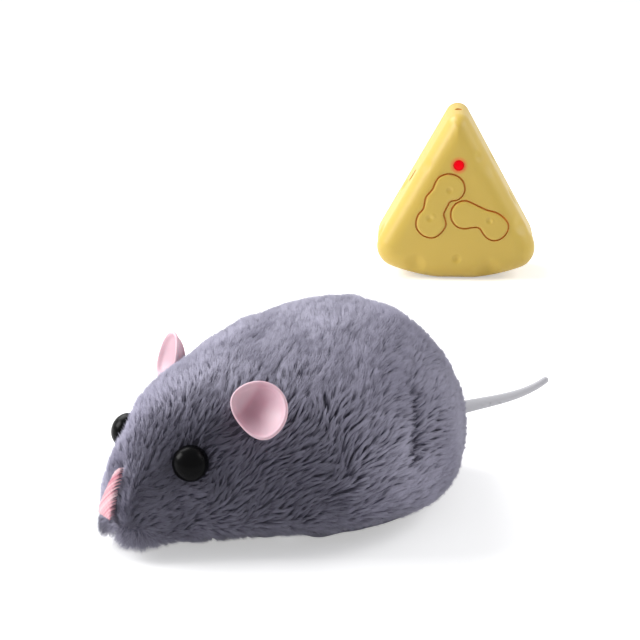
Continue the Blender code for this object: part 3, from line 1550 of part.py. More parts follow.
def remote_power(remote):
    """Two cells one behind the other, their contact plates, and the door over them."""
    half, low, high, front, back = bay_size()
    depths = (front + CELL_RADIUS + SEAT_GAP / 2, back - CELL_RADIUS - SEAT_GAP / 2)
    for name, depth in zip(("inner", "outer"), depths):
        shape = rod(CELL_RADIUS, -CELL_LENGTH / 2, CELL_LENGTH / 2, 20)
        place = Matrix.Translation((0, depth, CELL_HEIGHT)) @ ALONG_X
        look = ((0.05, 0.16, 0.10), 0.35, 0.0)
        piece(f"remote_cell_{name}", moved(shape, place), remote, look)
    inner_x = CELL_LENGTH / 2 + SEAT_GAP
    for name, side in (("left", -1), ("right", 1)):
        ends = sorted((side * inner_x, side * (inner_x + CONTACT_THICKNESS)))
        plate = face_box(
            (ends[0], low + SEAT_GAP),
            (ends[1], high - SEAT_GAP),
            front + SEAT_GAP,
            back - SEAT_GAP,
        )
        piece(f"remote_contact_{name}", plate, remote, STEEL)
    door = piece(
        "remote_battery_door",
        face_box(
            (-half + SEAT_GAP, low + SEAT_GAP),
            (half - SEAT_GAP, high - SEAT_GAP),
            back + SEAT_GAP,
            REMOTE_DEPTH,
        ),
        remote,
        CHEESE,
    )
    tab = face_box(
        (-DOOR_TAB_HALF_WIDTH, high - 2 * SEAT_GAP),
        (DOOR_TAB_HALF_WIDTH, high + DOOR_TAB_HEIGHT),
        back + SEAT_GAP,
        REMOTE_DEPTH,
    )
    join(door, "tab", tab)
    x, z = door_screw_place()
    hole = face_rod(SCREW_SHANK + RUN_GAP, 0, REMOTE_DEPTH + OVERRUN, (x, z))
    cut(door, "screw_hole", hole)
    head_on = Matrix.Rotation(math.pi / 2, 4, "X")
    place = Matrix.Translation((x, REMOTE_DEPTH + SEAT_GAP, z)) @ head_on
    short = screw_mesh(REMOTE_DEPTH - PARTING_DEPTH)
    piece("remote_door_screw", moved(short, place), remote, STEEL)
    for number, (x, z) in enumerate(remote_screws(), 1):
        seat = REMOTE_DEPTH - COUNTERBORE + SEAT_GAP
        place = Matrix.Translation((x, seat, z)) @ head_on
        piece(f"remote_screw_{number}", moved(screw_mesh(), place), remote, STEEL)


def remote_keys(remote):
    """Buttons with their flanges and stems, each with the key switch that it presses."""
    flange_at = REMOTE_WALL + SEAT_GAP
    stem_at = flange_at + BUTTON_FLANGE_THICKNESS
    stem_end = stem_at + KEY_STEM_LENGTH
    buttons = (
        ("go", GO_LOBE_SHARES, GO_WAIST_SHARES, on_face(GO_KEY_SHARES)),
        ("turn", TURN_LOBE_SHARES, TURN_WAIST_SHARES, on_face(TURN_KEY_SHARES)),
    )
    for name, lobes, waists, place in buttons:
        press = group(f"{name}_button_press", (0, 0, 0), remote)
        flat = lobed_outline(lobes, waists, 0)
        smaller = lobed_outline(lobes, waists, -BUTTON_EDGE)
        wider = lobed_outline(lobes, waists, BUTTON_FLANGE)
        cap = face_loft(
            [
                (smaller, -BUTTON_PROUD),
                (flat, BUTTON_EDGE - BUTTON_PROUD),
                (flat, flange_at),
                (wider, flange_at),
                (wider, stem_at),
            ]
        )
        button = piece(f"{name}_button", cap, press, CHEESE)
        stem = face_rod(KEY_STEM_RADIUS, stem_at - BUTTON_EDGE, stem_end, place)
        join(button, "stem", stem)
        plunger_at = stem_end + SEAT_GAP
        plunger = face_rod(
            KEY_PLUNGER_RADIUS, plunger_at, plunger_at + KEY_PLUNGER_LENGTH, place
        )
        piece(f"{name}_key_plunger", plunger, press, BLACK_ABS)
        half = KEY_SIZE / 2
        housing = piece(
            f"{name}_key_switch",
            face_box(
                (place[0] - half, place[1] - half),
                (place[0] + half, place[1] + half),
                KEY_SEAT_DEPTH,
                KEY_SEAT_DEPTH + KEY_HEIGHT,
            ),
            remote,
            STEEL,
        )
        well = face_rod(
            KEY_PLUNGER_RADIUS + RUN_GAP,
            0,
            plunger_at + KEY_PLUNGER_LENGTH + BUTTON_TRAVEL + SEAT_GAP,
            place,
        )
        cut(housing, "well", well)


def remote_electronics(remote):
    """Board, indicator lamp, infrared emitter under the point, and the side switch."""
    bay_high = bay_size()[2] + REMOTE_BAY_WALL + SEAT_GAP
    board_back = BOARD_DEPTH + BOARD_THICKNESS
    inset = REMOTE_WALL + SEAT_GAP
    top = RIND_RADIUS - REMOTE_BOARD_TOP
    bottom = RIND_RADIUS - bay_high
    wall_line = math.tan(HALF_ANGLE)
    shift = inset / math.cos(HALF_ANGLE) + SEAT_GAP
    corners = np.array(
        [
            (-bottom * wall_line + shift, bay_high),
            (bottom * wall_line - shift, bay_high),
            (top * wall_line - shift, REMOTE_BOARD_TOP),
            (-top * wall_line + shift, REMOTE_BOARD_TOP),
        ]
    )
    board = piece(
        "remote_circuit_board",
        face_prism(corners, BOARD_DEPTH, board_back),
        remote,
        BOARD_GREEN,
    )
    notches = [
        face_rod(BOSS_RADIUS + 2 * SEAT_GAP, 0, REMOTE_DEPTH, place)
        for place in remote_screws()
    ]
    cut(board, "boss_notches", merged(notches))

    lamp = on_face(LAMP_SHARES)
    lamp_back = BOARD_DEPTH - SEAT_GAP
    lamp_sides = 16
    flange_at = lamp_back - BUTTON_FLANGE_THICKNESS
    dome = [
        (circle(LAMP_RADIUS * 0.6, lamp_sides, lamp), -SEAT_GAP),
        (circle(LAMP_RADIUS, lamp_sides, lamp), SEAT_GAP),
        (circle(LAMP_RADIUS, lamp_sides, lamp), flange_at),
        (circle(LAMP_FLANGE, lamp_sides, lamp), flange_at),
        (circle(LAMP_FLANGE, lamp_sides, lamp), lamp_back),
    ]
    piece("indicator_lamp", face_loft(dome), remote, ((0.9, 0.02, 0.03), 0.2, 0.0))

    point = RIND_RADIUS - POINT_RADIUS / math.sin(HALF_ANGLE) + POINT_RADIUS
    foot_lift = RIND_RADIUS - math.sqrt(RIND_RADIUS**2 - FOOT_HALF_WIDTH**2)
    emitter_top = point - foot_lift - REMOTE_WALL - SEAT_GAP
    emitter_low = emitter_top - EMITTER_LENGTH
    middle = REMOTE_DEPTH / 2
    emitter = piece(
        "infrared_emitter",
        rod(EMITTER_RADIUS, emitter_low, emitter_top, 16, (0, middle)),
        remote,
        ((0.05, 0.05, 0.09), 0.1, 0.0),
    )
    leg = EMITTER_RADIUS * 0.6
    leg_low = REMOTE_BOARD_TOP - 2 * OVERRUN
    join(
        emitter,
        "legs",
        box((-leg, middle - leg, leg_low), (leg, middle + leg, emitter_low + leg)),
    )
    join(
        emitter,
        "bent_legs",
        box((-leg, board_back + SEAT_GAP, leg_low), (leg, middle, leg_low + leg * 2)),
    )

    frame = side_frame()
    slide = group("remote_switch_slide", (0, 0, 0), remote)
    half_length = REMOTE_SLIDER_LENGTH / 2
    half_width = REMOTE_SLIDER_WIDTH / 2
    start = -REMOTE_SWITCH_TRAVEL / 2
    base = -REMOTE_WALL - SEAT_GAP
    piece(
        "remote_switch_slider",
        moved(
            box(
                (start - half_length, -half_width, base - OVERRUN / 2),
                (start + half_length, half_width, -REMOTE_WALL * 0.25),
            ),
            frame,
        ),
        slide,
        BLACK_ABS,
    )
    outer_x = REMOTE_SWITCH_TRAVEL / 2 + half_length + 2 * RUN_GAP + SUMP_WALL
    outer_y = half_width + RUN_GAP + SUMP_WALL
    housing = piece(
        "remote_switch_body",
        moved(
            box(
                (-outer_x, -outer_y, base - OVERRUN * 1.5),
                (outer_x, outer_y, base),
            ),
            frame,
        ),
        remote,
        STEEL,
    )
    well = box(
        (-outer_x + SUMP_WALL, -outer_y + SUMP_WALL, base - OVERRUN / 2 - SEAT_GAP),
        (outer_x - SUMP_WALL, outer_y - SUMP_WALL, base + OVERRUN),
    )
    cut(housing, "well", moved(well, frame))


def stand_in_middle(root):
    """Moves the whole set so that the origin is under the middle of its bounding box,
    on the floor."""
    bpy.context.view_layer.update()
    graph = bpy.context.evaluated_depsgraph_get()
    lows = []
    highs = []
    for item in bpy.context.scene.objects:
        if item.type != "MESH" or item.hide_render:
            continue
        shown = item.evaluated_get(graph)
        corners = np.array([shown.matrix_world @ v.co for v in shown.data.vertices])
        lows.append(corners.min(axis=0))
        highs.append(corners.max(axis=0))
    low = np.min(lows, axis=0)
    high = np.max(highs, axis=0)
    root.location = (-(low[0] + high[0]) / 2, -(low[1] + high[1]) / 2, -low[2])


clear_scene()
whole = group("toy_set")
mouse_group = group("mouse", (0, 0, 0), whole)
remote_group = group("remote_lift", (REMOTE_X, REMOTE_Y, 0), whole, REMOTE_TURN)

plush, dome_shell = cover_and_shell(mouse_group)
eyes(mouse_group, plush, dome_shell)
ears(mouse_group, plush, dome_shell)
nose(mouse_group, plush)
tail(mouse_group, plush, dome_shell)
chassis_plate(mouse_group)
power_and_board(mouse_group)
rear_axle(mouse_group)
idler(mouse_group)
motor(mouse_group)
front_wheel(mouse_group)

remote_shells(remote_group)
remote_power(remote_group)
remote_keys(remote_group)
remote_electronics(remote_group)

stand_in_middle(whole)
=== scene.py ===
"""Plush remote-controlled mouse for cats, with its remote shaped as a wedge of cheese."""

import json

import bpy
import numpy as np
from mathutils import Matrix, Vector


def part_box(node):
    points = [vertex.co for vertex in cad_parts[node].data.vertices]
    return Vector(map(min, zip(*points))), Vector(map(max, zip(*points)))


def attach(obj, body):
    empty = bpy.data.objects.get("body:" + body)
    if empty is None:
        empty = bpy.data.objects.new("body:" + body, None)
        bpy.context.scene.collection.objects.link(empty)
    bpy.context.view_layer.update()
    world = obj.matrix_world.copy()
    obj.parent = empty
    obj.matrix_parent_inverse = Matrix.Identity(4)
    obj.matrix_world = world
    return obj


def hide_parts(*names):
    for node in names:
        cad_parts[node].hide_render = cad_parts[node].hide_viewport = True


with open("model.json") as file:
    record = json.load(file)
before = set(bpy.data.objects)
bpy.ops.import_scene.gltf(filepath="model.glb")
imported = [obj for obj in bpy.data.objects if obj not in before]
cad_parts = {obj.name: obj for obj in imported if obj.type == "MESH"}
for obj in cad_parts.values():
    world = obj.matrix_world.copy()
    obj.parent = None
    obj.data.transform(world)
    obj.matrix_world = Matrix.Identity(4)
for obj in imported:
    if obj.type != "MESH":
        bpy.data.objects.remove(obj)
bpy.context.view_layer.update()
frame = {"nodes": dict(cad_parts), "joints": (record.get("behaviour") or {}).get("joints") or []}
places = {joint["name"]: np.array(joint["pos_m"]) for joint in frame["joints"]}
mouse = places["rear_axle_turn"] - (0, 0.014, 0.012)
remote = places["remote_lift"]

# Plush skin: the knitted backing of the toy's one-piece cover, pulled over the moulded
# dome and glued under its rim, where it ends in a rolled hem. The pile is sewn into it,
# so this cloth only shows at the hem and as the dark ground between the tufts.
BODY_LENGTH = 0.116
BODY_WIDTH = 0.079
BODY_HEIGHT = 0.057
NOSE_END = 0.008
RUMP_END = 0.012
HEM_HEIGHT = 0.001
HALF_WIDTHS = (0.85, 0.52, 0.69, 1.0, 0.92, 0.50, 0.22)
RISES = (0.60, 0.82, 0.775, 0.794, 0.834, 0.65, 0.40)
FLANK_START = 0.7
UNDER_REACH = 0.8
BACKING_DEPTH = 0.0018
CLOTH_THICKNESS = 0.0013
# Hollows in the stuffing, in millimetres: place, radius and depth. Two are the gathers
# above the flank's furrow, two the dips below it and two lie by the eyes. The last two,
# of negative depth, are swells under the muzzle.
POCKETS = (
    (36.5, -2.0, 30.0, 3.4, 0.9),
    (32.7, -4.5, 37.0, 3.2, 0.8),
    (39.4, 3.5, 18.0, 3.4, 1.0),
    (38.8, 1.3, 10.7, 3.0, 0.8),
    (15.6, -41.0, 27.6, 6.6, 1.0),
    (-7.5, -49.5, 31.0, 8.0, 2.6),
    (-6.0, -53.5, 3.0, 6.5, -2.4),
    (3.0, -53.5, 3.0, 6.5, -1.4),
)


def hermite(u, a, b, c, d):
    """The cubic from a to b with the slopes c and d there, at the share u of the way."""
    start = (2 * u**3 - 3 * u**2 + 1) * a + (u**3 - 2 * u**2 + u) * c
    return start + (3 * u**2 - 2 * u**3) * b + (u**3 - u**2) * d


def through(shares, turn):
    """A smooth curve through shares at even turns from 0 to pi: between two of them a
    cubic (Hermite) with slopes taken from their neighbours."""
    values = np.asarray(shares, float)
    slopes = np.gradient(values)
    spans = len(values) - 1
    place = np.clip(turn / np.pi * spans, 0, spans)
    i = np.minimum(place.astype(int), spans - 1)
    u = place - i
    return hermite(u, values[i], values[i + 1], slopes[i], slopes[i + 1])


def body_point(turn, side):
    """The plush form. y = -(length / 2) cos(turn); the section is a superellipse above
    its waist, and below it x = w (1 - u^4)^(1/n) while z falls straight with u. side runs
    from the right hem at -1 over the back at 0 to the left hem at 1."""
    turn, side = np.broadcast_arrays(turn, side)
    rounding = np.sin(turn) ** 0.8
    half = BODY_WIDTH / 2 * through(HALF_WIDTHS, turn) * rounding
    rise = BODY_HEIGHT * through(RISES, turn) * rounding
    along = (1 - np.cos(turn)) / 2
    end = NOSE_END + (RUMP_END - NOSE_END) * along
    tuck = np.clip(np.sin(turn) / np.sin(0.16 * np.pi), 0, 1) ** 0.7
    bottom = end - (end - HEM_HEIGHT) * tuck
    waist = end + 0.15 * rise
    power = 2.1 - 0.2 * along
    lean = np.clip(np.abs(side) / FLANK_START, 0, 1) * np.pi / 2
    under = np.clip((np.abs(side) - FLANK_START) / (1 - FLANK_START), 0, 1) * UNDER_REACH
    out = np.sin(lean) ** (2 / power) * (1 - under**4) ** (1 / power)
    up = waist + (end + rise - waist) * np.cos(lean) ** (2 / power)
    z = np.where(under > 0, waist - under * (waist - bottom), up)
    y = -BODY_LENGTH / 2 * np.cos(turn)
    return np.stack([half * out * np.sign(side), y, z], axis=-1)


def body_normal(turn, side):
    """Outward normal of the form: the cross product of its slopes across and along."""
    turn = np.clip(turn, 0.03, np.pi - 0.03)
    side = np.clip(side, -0.995, 0.995)
    step = 0.003
    across = body_point(turn, side + step) - body_point(turn, side - step)
    along = body_point(turn + step, side) - body_point(turn - step, side)
    normal = np.cross(across, along)
    return normal / np.linalg.norm(normal, axis=-1, keepdims=True)


def ripple(points, wavelength, seed):
    """Smooth noise of about -1 to 1: the mean of six sine waves of nearly one length,
    each in a direction of its own."""
    rng = np.random.default_rng(seed)
    ways = rng.normal(size=(6, 3))
    ways /= np.linalg.norm(ways, axis=1)[:, None]
    ways *= 2 * np.pi / wavelength * rng.uniform(0.75, 1.35, (6, 1))
    return np.sin(points @ ways.T + rng.uniform(0, 6.28, 6)).sum(axis=-1) / 2.4


def bell(value, middle, width):
    return np.exp(-(((value - middle) / width) ** 2))


def stuffing(points):
    """How far the cloth stands out from the plain form: a furrow that climbs each flank
    just behind the middle, where the cloth is gathered, with a swell before it, less the
    pockets' bowls depth (1 - (d / r)^2)^2, and slow waves over all."""
    x, y, z = np.moveaxis(points, -1, 0)
    side = np.where(x > 0, 1.0, 0.6) * np.clip(np.abs(x) / 0.012, 0, 1)
    furrow = bell(y, 0.0105 + 0.26 * (z - 0.0233), 0.0026) * bell(z, 0.030, 0.0115)
    swell = bell(y, 0.0045 + 0.3 * (z - 0.031), 0.0026) * bell(z, 0.031, 0.008)
    gathers = side * (0.0008 * swell - 0.0024 * furrow)
    for *place, radius, depth in np.array(POCKETS) / 1000:
        away = np.linalg.norm(points - place, axis=-1) / radius
        gathers = gathers - depth * np.clip(1 - away**2, 0, 1) ** 2
    return gathers + 0.00022 * ripple(points, 0.026, 3) + 0.00012 * ripple(points, 0.012, 5)


def surface(name, points, *faces):
    """A smooth mesh object at the origin, from points and arrays of triangles or quads."""
    mesh = bpy.data.meshes.new(name)
    corners = np.concatenate([part.ravel() for part in faces]).astype(np.int32)
    sizes = np.concatenate([np.full(len(part), part.shape[1]) for part in faces])
    mesh.vertices.add(len(points))
    mesh.vertices.foreach_set("co", np.asarray(points, np.float32).ravel())
    mesh.loops.add(len(corners))
    mesh.loops.foreach_set("vertex_index", corners)
    mesh.polygons.add(len(sizes))
    starts = np.concatenate([[0], np.cumsum(sizes)[:-1]])
    mesh.polygons.foreach_set("loop_start", starts.astype(np.int32))
    mesh.update(calc_edges=True)
    mesh.shade_smooth()
    made = bpy.data.objects.new(name, mesh)
    bpy.context.collection.objects.link(made)
    return made


def marked(piece, key, values):
    """Gives each point of a piece a number, which its material reads under key."""
    layer = piece.data.attributes.new(key, "FLOAT", "POINT")
    layer.data.foreach_set("value", np.asarray(values, np.float32).ravel())


def strips(first, second):
    """Quads between two closed loops of point numbers, one to one."""
    return np.stack([first, np.roll(first, -1), np.roll(second, -1), second], axis=1)


def facing_out(points, faces):
    """The faces, all turned round if the volume that they close comes out negative: the
    sum over their triangles of a . (b x c)."""
    volume = 0
    for part in faces:
        a, b, c = (points[part[:, i]] for i in (0, 1, 2))
        volume += np.einsum("ij,ij->", a, np.cross(b, c))
        if part.shape[1] == 4:
            d = points[part[:, 3]]
            volume += np.einsum("ij,ij->", a, np.cross(c, d))
    return [part[:, ::-1] for part in faces] if volume < 0 else faces


def backing(name):
    """The cloth as one closed skin: outside over the body, rolled hem, inside back."""
    turn, side = np.meshgrid(
        np.linspace(0.03, np.pi - 0.03, 170), np.linspace(-1, 1, 181), indexing="ij"
    )
    form = body_point(turn, side)
    normal = body_normal(turn, side)
    outer = form + normal * (stuffing(form) - BACKING_DEPTH)[..., None]
    side_in = side * 0.955
    form_in = body_point(turn, side_in)
    inner = form_in - body_normal(turn, side_in) * (BACKING_DEPTH + CLOTH_THICKNESS)
    rows, columns = turn.shape
    poles = np.array(
        [
            (0, -BODY_LENGTH / 2 + BACKING_DEPTH, NOSE_END),
            (0, BODY_LENGTH / 2 - BACKING_DEPTH, RUMP_END),
        ]
    )
    inner_poles = poles * (1, 0.97, 1)
    edge = np.concatenate([poles[:1], outer[:, -1], poles[1:], outer[::-1, 0]])
    inner_edge = [inner_poles[:1], inner[:, -1], inner_poles[1:], inner[::-1, 0]]
    half = np.abs(edge[:, 0]) / (1 - UNDER_REACH**4) ** 0.5
    room = half - 0.0052
    mouth_x = np.sign(edge[:, 0]) * 0.86 * (room + np.hypot(room, 0.0015)) / 2
    mouth = np.stack([mouth_x, edge[:, 1] * 0.885, np.zeros(len(edge))], axis=1)
    lip = 0.0028 + 0.0005 * ripple(edge, 0.014, 8)
    rings = []
    for share in (0.3, 0.6, 0.85, 1.0):
        ring = edge + (mouth - edge) * share
        ring[:, 2] = edge[:, 2] + (lip - edge[:, 2]) * np.sin(share * np.pi / 2)
        rings.append(ring)
    for lift in (0.0007, 0.0018):
        rings.append(np.column_stack([mouth[:, :2], lip + lift]))
    under_plate = np.concatenate(inner_edge) * (0.975, 0.985, 0)
    under_plate[:, 2] = 0.0049
    rings.append(under_plate)
    count = rows * columns
    points = np.concatenate(
        [outer.reshape(-1, 3), inner.reshape(-1, 3), poles, inner_poles, *rings]
    )
    number = np.arange(count).reshape(rows, columns)
    faces = []
    for shift, turned, pole in ((0, False, 2 * count), (count, True, 2 * count + 2)):
        a, b = number[:-1, :-1] + shift, number[:-1, 1:] + shift
        c, d = number[1:, 1:] + shift, number[1:, :-1] + shift
        quads = np.stack([a, b, c, d], axis=-1).reshape(-1, 4)
        nose = number[0] + shift
        rump = number[-1] + shift
        fans = np.concatenate(
            [
                np.stack([np.full(columns - 1, pole), nose[1:], nose[:-1]], axis=1),
                np.stack([np.full(columns - 1, pole + 1), rump[:-1], rump[1:]], axis=1),
            ]
        )
        faces += [quads[:, ::-1] if turned else quads, fans[:, ::-1] if turned else fans]

    def loop(shift, pole):
        return np.concatenate(
            [[pole], number[:, -1] + shift, [pole + 1], number[::-1, 0] + shift]
        )

    start = 2 * count + 4
    size = 2 * rows + 2
    loops = [loop(0, 2 * count)]
    loops += [np.arange(size) + start + i * size for i in range(len(rings))]
    loops.append(loop(count, 2 * count + 2))
    faces += [strips(one, two) for one, two in zip(loops, loops[1:])]
    made = surface(name, points + mouse, *facing_out(points, faces))
    marked(made, "hem", np.clip((0.0042 - points[:, 2]) / 0.0012, 0, 1))
    return made


def colour(code):
    """Linear red, green, blue and 1 from an sRGB hex code."""
    values = np.array([int(code[i : i + 2], 16) for i in (1, 3, 5)]) / 255
    linear = np.where(values <= 0.04045, values / 12.92, ((values + 0.055) / 1.055) ** 2.4)
    return (*linear.tolist(), 1.0)


def add(tree, kind, inputs, **settings):
    """Adds one node. settings are its own; inputs go by socket name or number, and each
    is a plain value or another node's output to link."""
    new = tree.nodes.new(kind)
    for key, value in settings.items():
        setattr(new, key, value)
    for key, value in inputs.items():
        if isinstance(value, bpy.types.NodeSocket):
            tree.links.new(value, new.inputs[key])
        else:
            new.inputs[key].default_value = value
    return new


def blend(tree, share, first, second):
    """A colour between two, each a hex code or another node's colour."""
    first, second = (colour(c) if isinstance(c, str) else c for c in (first, second))
    return add(
        tree, "ShaderNodeMix", {0: share, 6: first, 7: second}, data_type="RGBA"
    ).outputs[2]


def new_finish(name, **sockets):
    """A material with its shader's plain sockets set. Returns it, its nodes and links,
    and the shader."""
    made = bpy.data.materials.new(name)
    made.use_nodes = True
    shader = made.node_tree.nodes["Principled BSDF"]
    for key, value in sockets.items():
        shader.inputs[key.replace("_", " ").title()].default_value = value
    return made, made.node_tree, shader


def coordinates(tree):
    """The object's own coordinates, in metres."""
    return add(tree, "ShaderNodeTexCoord", {}).outputs["Object"]


def noise(tree, scale, detail):
    """Noise over the object's own coordinates, scale waves to the metre."""
    inputs = {"Vector": coordinates(tree), "Scale": scale, "Detail": detail}
    return add(tree, "ShaderNodeTexNoise", inputs).outputs["Fac"]


def stored(tree, key):
    """The number that each point of a piece carries under key."""
    return add(tree, "ShaderNodeAttribute", {}, attribute_name=key).outputs["Fac"]


def ranged(tree, value, **ends):
    """The value taken from one range to another: from_min, from_max, to_min, to_max."""
    ends = {key.replace("_", " ").title(): end for key, end in ends.items()}
    return add(tree, "ShaderNodeMapRange", {"Value": value, **ends}).outputs["Result"]


def paint(tree, shader, value, socket="Base Color"):
    """Links the value to the shader's colour, or to the input that socket names."""
    tree.links.new(value, shader.inputs[socket])


def bumped(tree, shader, height, depth):
    """Bumps the surface outwards by height times depth, in metres."""
    bump = add(tree, "ShaderNodeBump", {"Height": height, "Distance": depth})
    tree.links.new(bump.outputs["Normal"], shader.inputs["Normal"])


# Knitted polyester: matt, with a fine rib that breaks up the light along the hem; dark
# between the tufts, where little light comes down, and paler on the bare hem.
knit, tree, shader = new_finish("knitted polyester backing", roughness=0.95)
ground = blend(tree, noise(tree, 180, 3), "#4a4855", "#5e5c69")
paint(tree, shader, blend(tree, stored(tree, "hem"), ground, "#8d8b98"))
# Stitches are 0.3 mm apart in the cloth; drawn at 0.7 mm so that they show.
rib = add(tree, "ShaderNodeTexVoronoi", {"Vector": coordinates(tree), "Scale": 1400})
bumped(tree, shader, rib.outputs["Distance"], 0.0002)

skin = backing("plush_backing")
skin.data.materials.append(knit)
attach(skin, "mouse")
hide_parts("plush_cover")

# Pile: short acrylic plush, brushed one way. Each lock is a bunch of fine straight fibres
# that close up towards their tips on the flanks and stand loose on the crown and back.
# They lie low along the nap, which climbs the near flank and turns level at the rump.
LOCKS = 13000
STRANDS = 28
STRAND_RADIUS = 0.0001
LOCK_HALF_WIDTH = 0.0006
LOCK_HALF_LENGTH = 0.0017
EYE_RADIUS = 0.0047
EYES = {
    "left": ((0.0151, -0.0415, 0.0268), (0.75, -0.60, 0.28)),
    "right": ((-0.0097, -0.0462, 0.0287), (-0.45, -0.80, 0.40)),
}
EAR_RADIUS = 0.0081
EAR_CHORD = 0.0061
EARS = {
    "left": ((0.0201, -0.0296, 0.0348), (0.54, -0.60, 0.59), (0.26, 0.745, 0.614)),
    "right": ((-0.0169, -0.0281, 0.0354), (-0.27, -0.92, 0.30), (-0.25, 0.10, 1.0)),
}
# Corners of the nose patch in width and height: lower left, lower right, upper right,
# upper left, as the mouse is seen from its front.
NOSE_CORNERS = ((-0.0052, 0.0096), (0.0030, 0.0108), (0.0038, 0.0248), (0.0022, 0.0240))


def nap(points, normal):
    """The way the pile leans: a direction that changes from nose to rump, laid flat on
    the skin by taking away what it has along the normal."""
    y = points[:, 1]
    stops = np.array((-58, -46, -30, -5, 15, 28, 42, 58)) / 1000
    across = np.interp(y, stops, (-0.25, -0.3, -0.3, -0.35, -0.45, -0.6, -0.8, -0.8))
    across -= 0.6 * np.clip(normal[:, 2], 0, 1)
    climb = np.interp(y, stops, (0.2, 0.2, 0.25, 0.35, 0.25, 0.0, -0.25, -0.3))
    up = climb * normal[:, 0] + 0.45 * np.clip(-normal[:, 1], 0, 1)
    way = np.stack([across, np.ones(len(y)), up], axis=1)
    way -= normal * np.einsum("ij,ij->i", way, normal)[:, None]
    return way / np.linalg.norm(way, axis=1, keepdims=True)


def spread_over_body(count):
    """Places on the form, evenly by area: a low-discrepancy sequence, taken through the
    running sums of the form's area along and then across."""
    turns = np.linspace(0.02, np.pi - 0.02, 400)
    sides = np.linspace(-1, 1, 401)
    turn, side = np.meshgrid(turns, sides, indexing="ij")
    form = body_point(turn, side)
    patch = np.cross(np.gradient(form, axis=0), np.gradient(form, axis=1))
    area = np.linalg.norm(patch, axis=-1)
    rows = np.cumsum(area.sum(axis=1))
    rows /= rows[-1]
    i = np.arange(count)
    first = (0.5 + i * 0.7548776662) % 1
    second = (0.5 + i * 0.5698402910) % 1
    picked_turn = np.interp(first, rows, turns)
    row = np.clip(np.searchsorted(rows, first), 0, len(turns) - 1)
    columns = np.cumsum(area, axis=1)
    columns = columns / columns[:, -1:] + np.arange(len(turns))[:, None]
    place = np.searchsorted(columns.ravel(), second * 0.999 + row + 0.0005)
    picked_side = sides[np.clip(place - row * len(sides), 0, len(sides) - 1)]
    return picked_turn, picked_side


def axes_of(facing, up):
    """Rows across, up and facing of a frame: z along facing, y as near up as it can."""
    facing = np.asarray(facing) / np.linalg.norm(facing)
    across = np.cross(up, facing)
    across /= np.linalg.norm(across)
    return np.stack([across, np.cross(facing, across), facing])


def ear_edge(turn):
    """An ear's outline as a radius: a circle cut by a chord below, their corner rounded
    by the sum of the two radii to the power -3."""
    chord = EAR_CHORD / np.maximum(-np.sin(turn), 0.001)
    return (EAR_RADIUS**-3.0 + chord**-3.0) ** (-1 / 3)


rng = np.random.default_rng(11)
turn, side = spread_over_body(LOCKS)
turn = np.clip(turn + rng.normal(0, 0.006, LOCKS), 0.03, np.pi - 0.03)
side = np.clip(side + rng.normal(0, 0.006, LOCKS), -1, 1)
form = body_point(turn, side)
normal = body_normal(turn, side)
root = form + normal * (stuffing(form) - BACKING_DEPTH)[:, None]
way = nap(form, normal)
stray = rng.normal(0, 0.15, LOCKS) + 0.26 * ripple(form, 0.011, 21)
stray += 0.2 * ripple(form, 0.024, 22)
cross = np.cross(normal, way)
way = way * np.cos(stray)[:, None] + cross * np.sin(stray)[:, None]

# Length and rise: longest on the flanks, short on the face and round the hem. Under the
# chin the pile hangs down.
x, y, z = form.T
length = np.interp(y, (-0.058, -0.048, -0.030, -0.010, 0.045), (2.0, 2.5, 3.2, 4.0, 3.8))
length = length / 1000 * rng.uniform(0.85, 1.15, LOCKS)
rise = np.interp(y, (-0.058, -0.052, -0.020), (1.6, 1.4, 1.8)) / 1000
rise *= rng.uniform(0.65, 1.15, LOCKS)
rise += 0.0011 * np.clip((-y - 0.046) / 0.006, 0, 1) * np.clip((0.008 - z) / 0.003, 0, 1)
low = np.clip((0.008 - z) / 0.005, 0, 1)
length *= 1 - 0.35 * low
chin = (np.clip((-y - 0.050) / 0.004, 0, 1) * np.clip((0.0105 - z) / 0.003, 0, 1))[:, None]
way = way * (1 - chin) + np.array((0, -0.3, -0.95)) * chin
length = length + 0.0003 * chin[:, 0]
loose = np.clip((normal[:, 2] - 0.45) / 0.4, 0, 1) * 0.75
loose = np.maximum(loose, 0.6 * np.clip((-y - 0.038) / 0.01, 0, 1))
loose += (2.2 - loose) * chin[:, 0]

# Room for what stands in the pile: none grows under the eyes, the stitches or the hem's
# roll, and what would come through an ear is left out. Round an eye it leans away.
keep = z > 0.0026
for place, _ in EYES.values():
    away = form - place
    gap = np.linalg.norm(away, axis=1)
    keep &= gap > EYE_RADIUS * 0.93
    close = np.clip(1.5 - gap / EYE_RADIUS, 0, 0.5)[:, None] * 0.5
    way = way * (1 - close) + away / gap[:, None] * close
    length = np.where(gap < EYE_RADIUS * 1.5, length * 0.62, length)
    end = root + way * length[:, None] + normal * rise[:, None]
    keep &= np.linalg.norm(end - place, axis=1) > EYE_RADIUS * 0.9
middle = np.mean(NOSE_CORNERS, axis=0)
corners = np.array(NOSE_CORNERS)
inside = np.full(LOCKS, np.inf)
for start, end in zip(corners, np.roll(corners, -1, axis=0)):
    run = (end - start) / np.linalg.norm(end - start)
    inside = np.minimum(inside, run[0] * (z - start[1]) - run[1] * (x - start[0]))
inside = np.where(y < -0.05, inside, -1)
keep &= inside < 0.0001
close = np.clip(1 + inside / 0.0014, 0, 1)[:, None] * 0.4
out = np.stack([x - middle[0], np.zeros(LOCKS), z - middle[1]], axis=1)
out /= np.linalg.norm(out, axis=1, keepdims=True)
way = way * (1 - close) + out * close
way -= normal * np.einsum("ij,ij->i", way, normal)[:, None]
way /= np.linalg.norm(way, axis=1, keepdims=True)
cross = np.cross(normal, way)
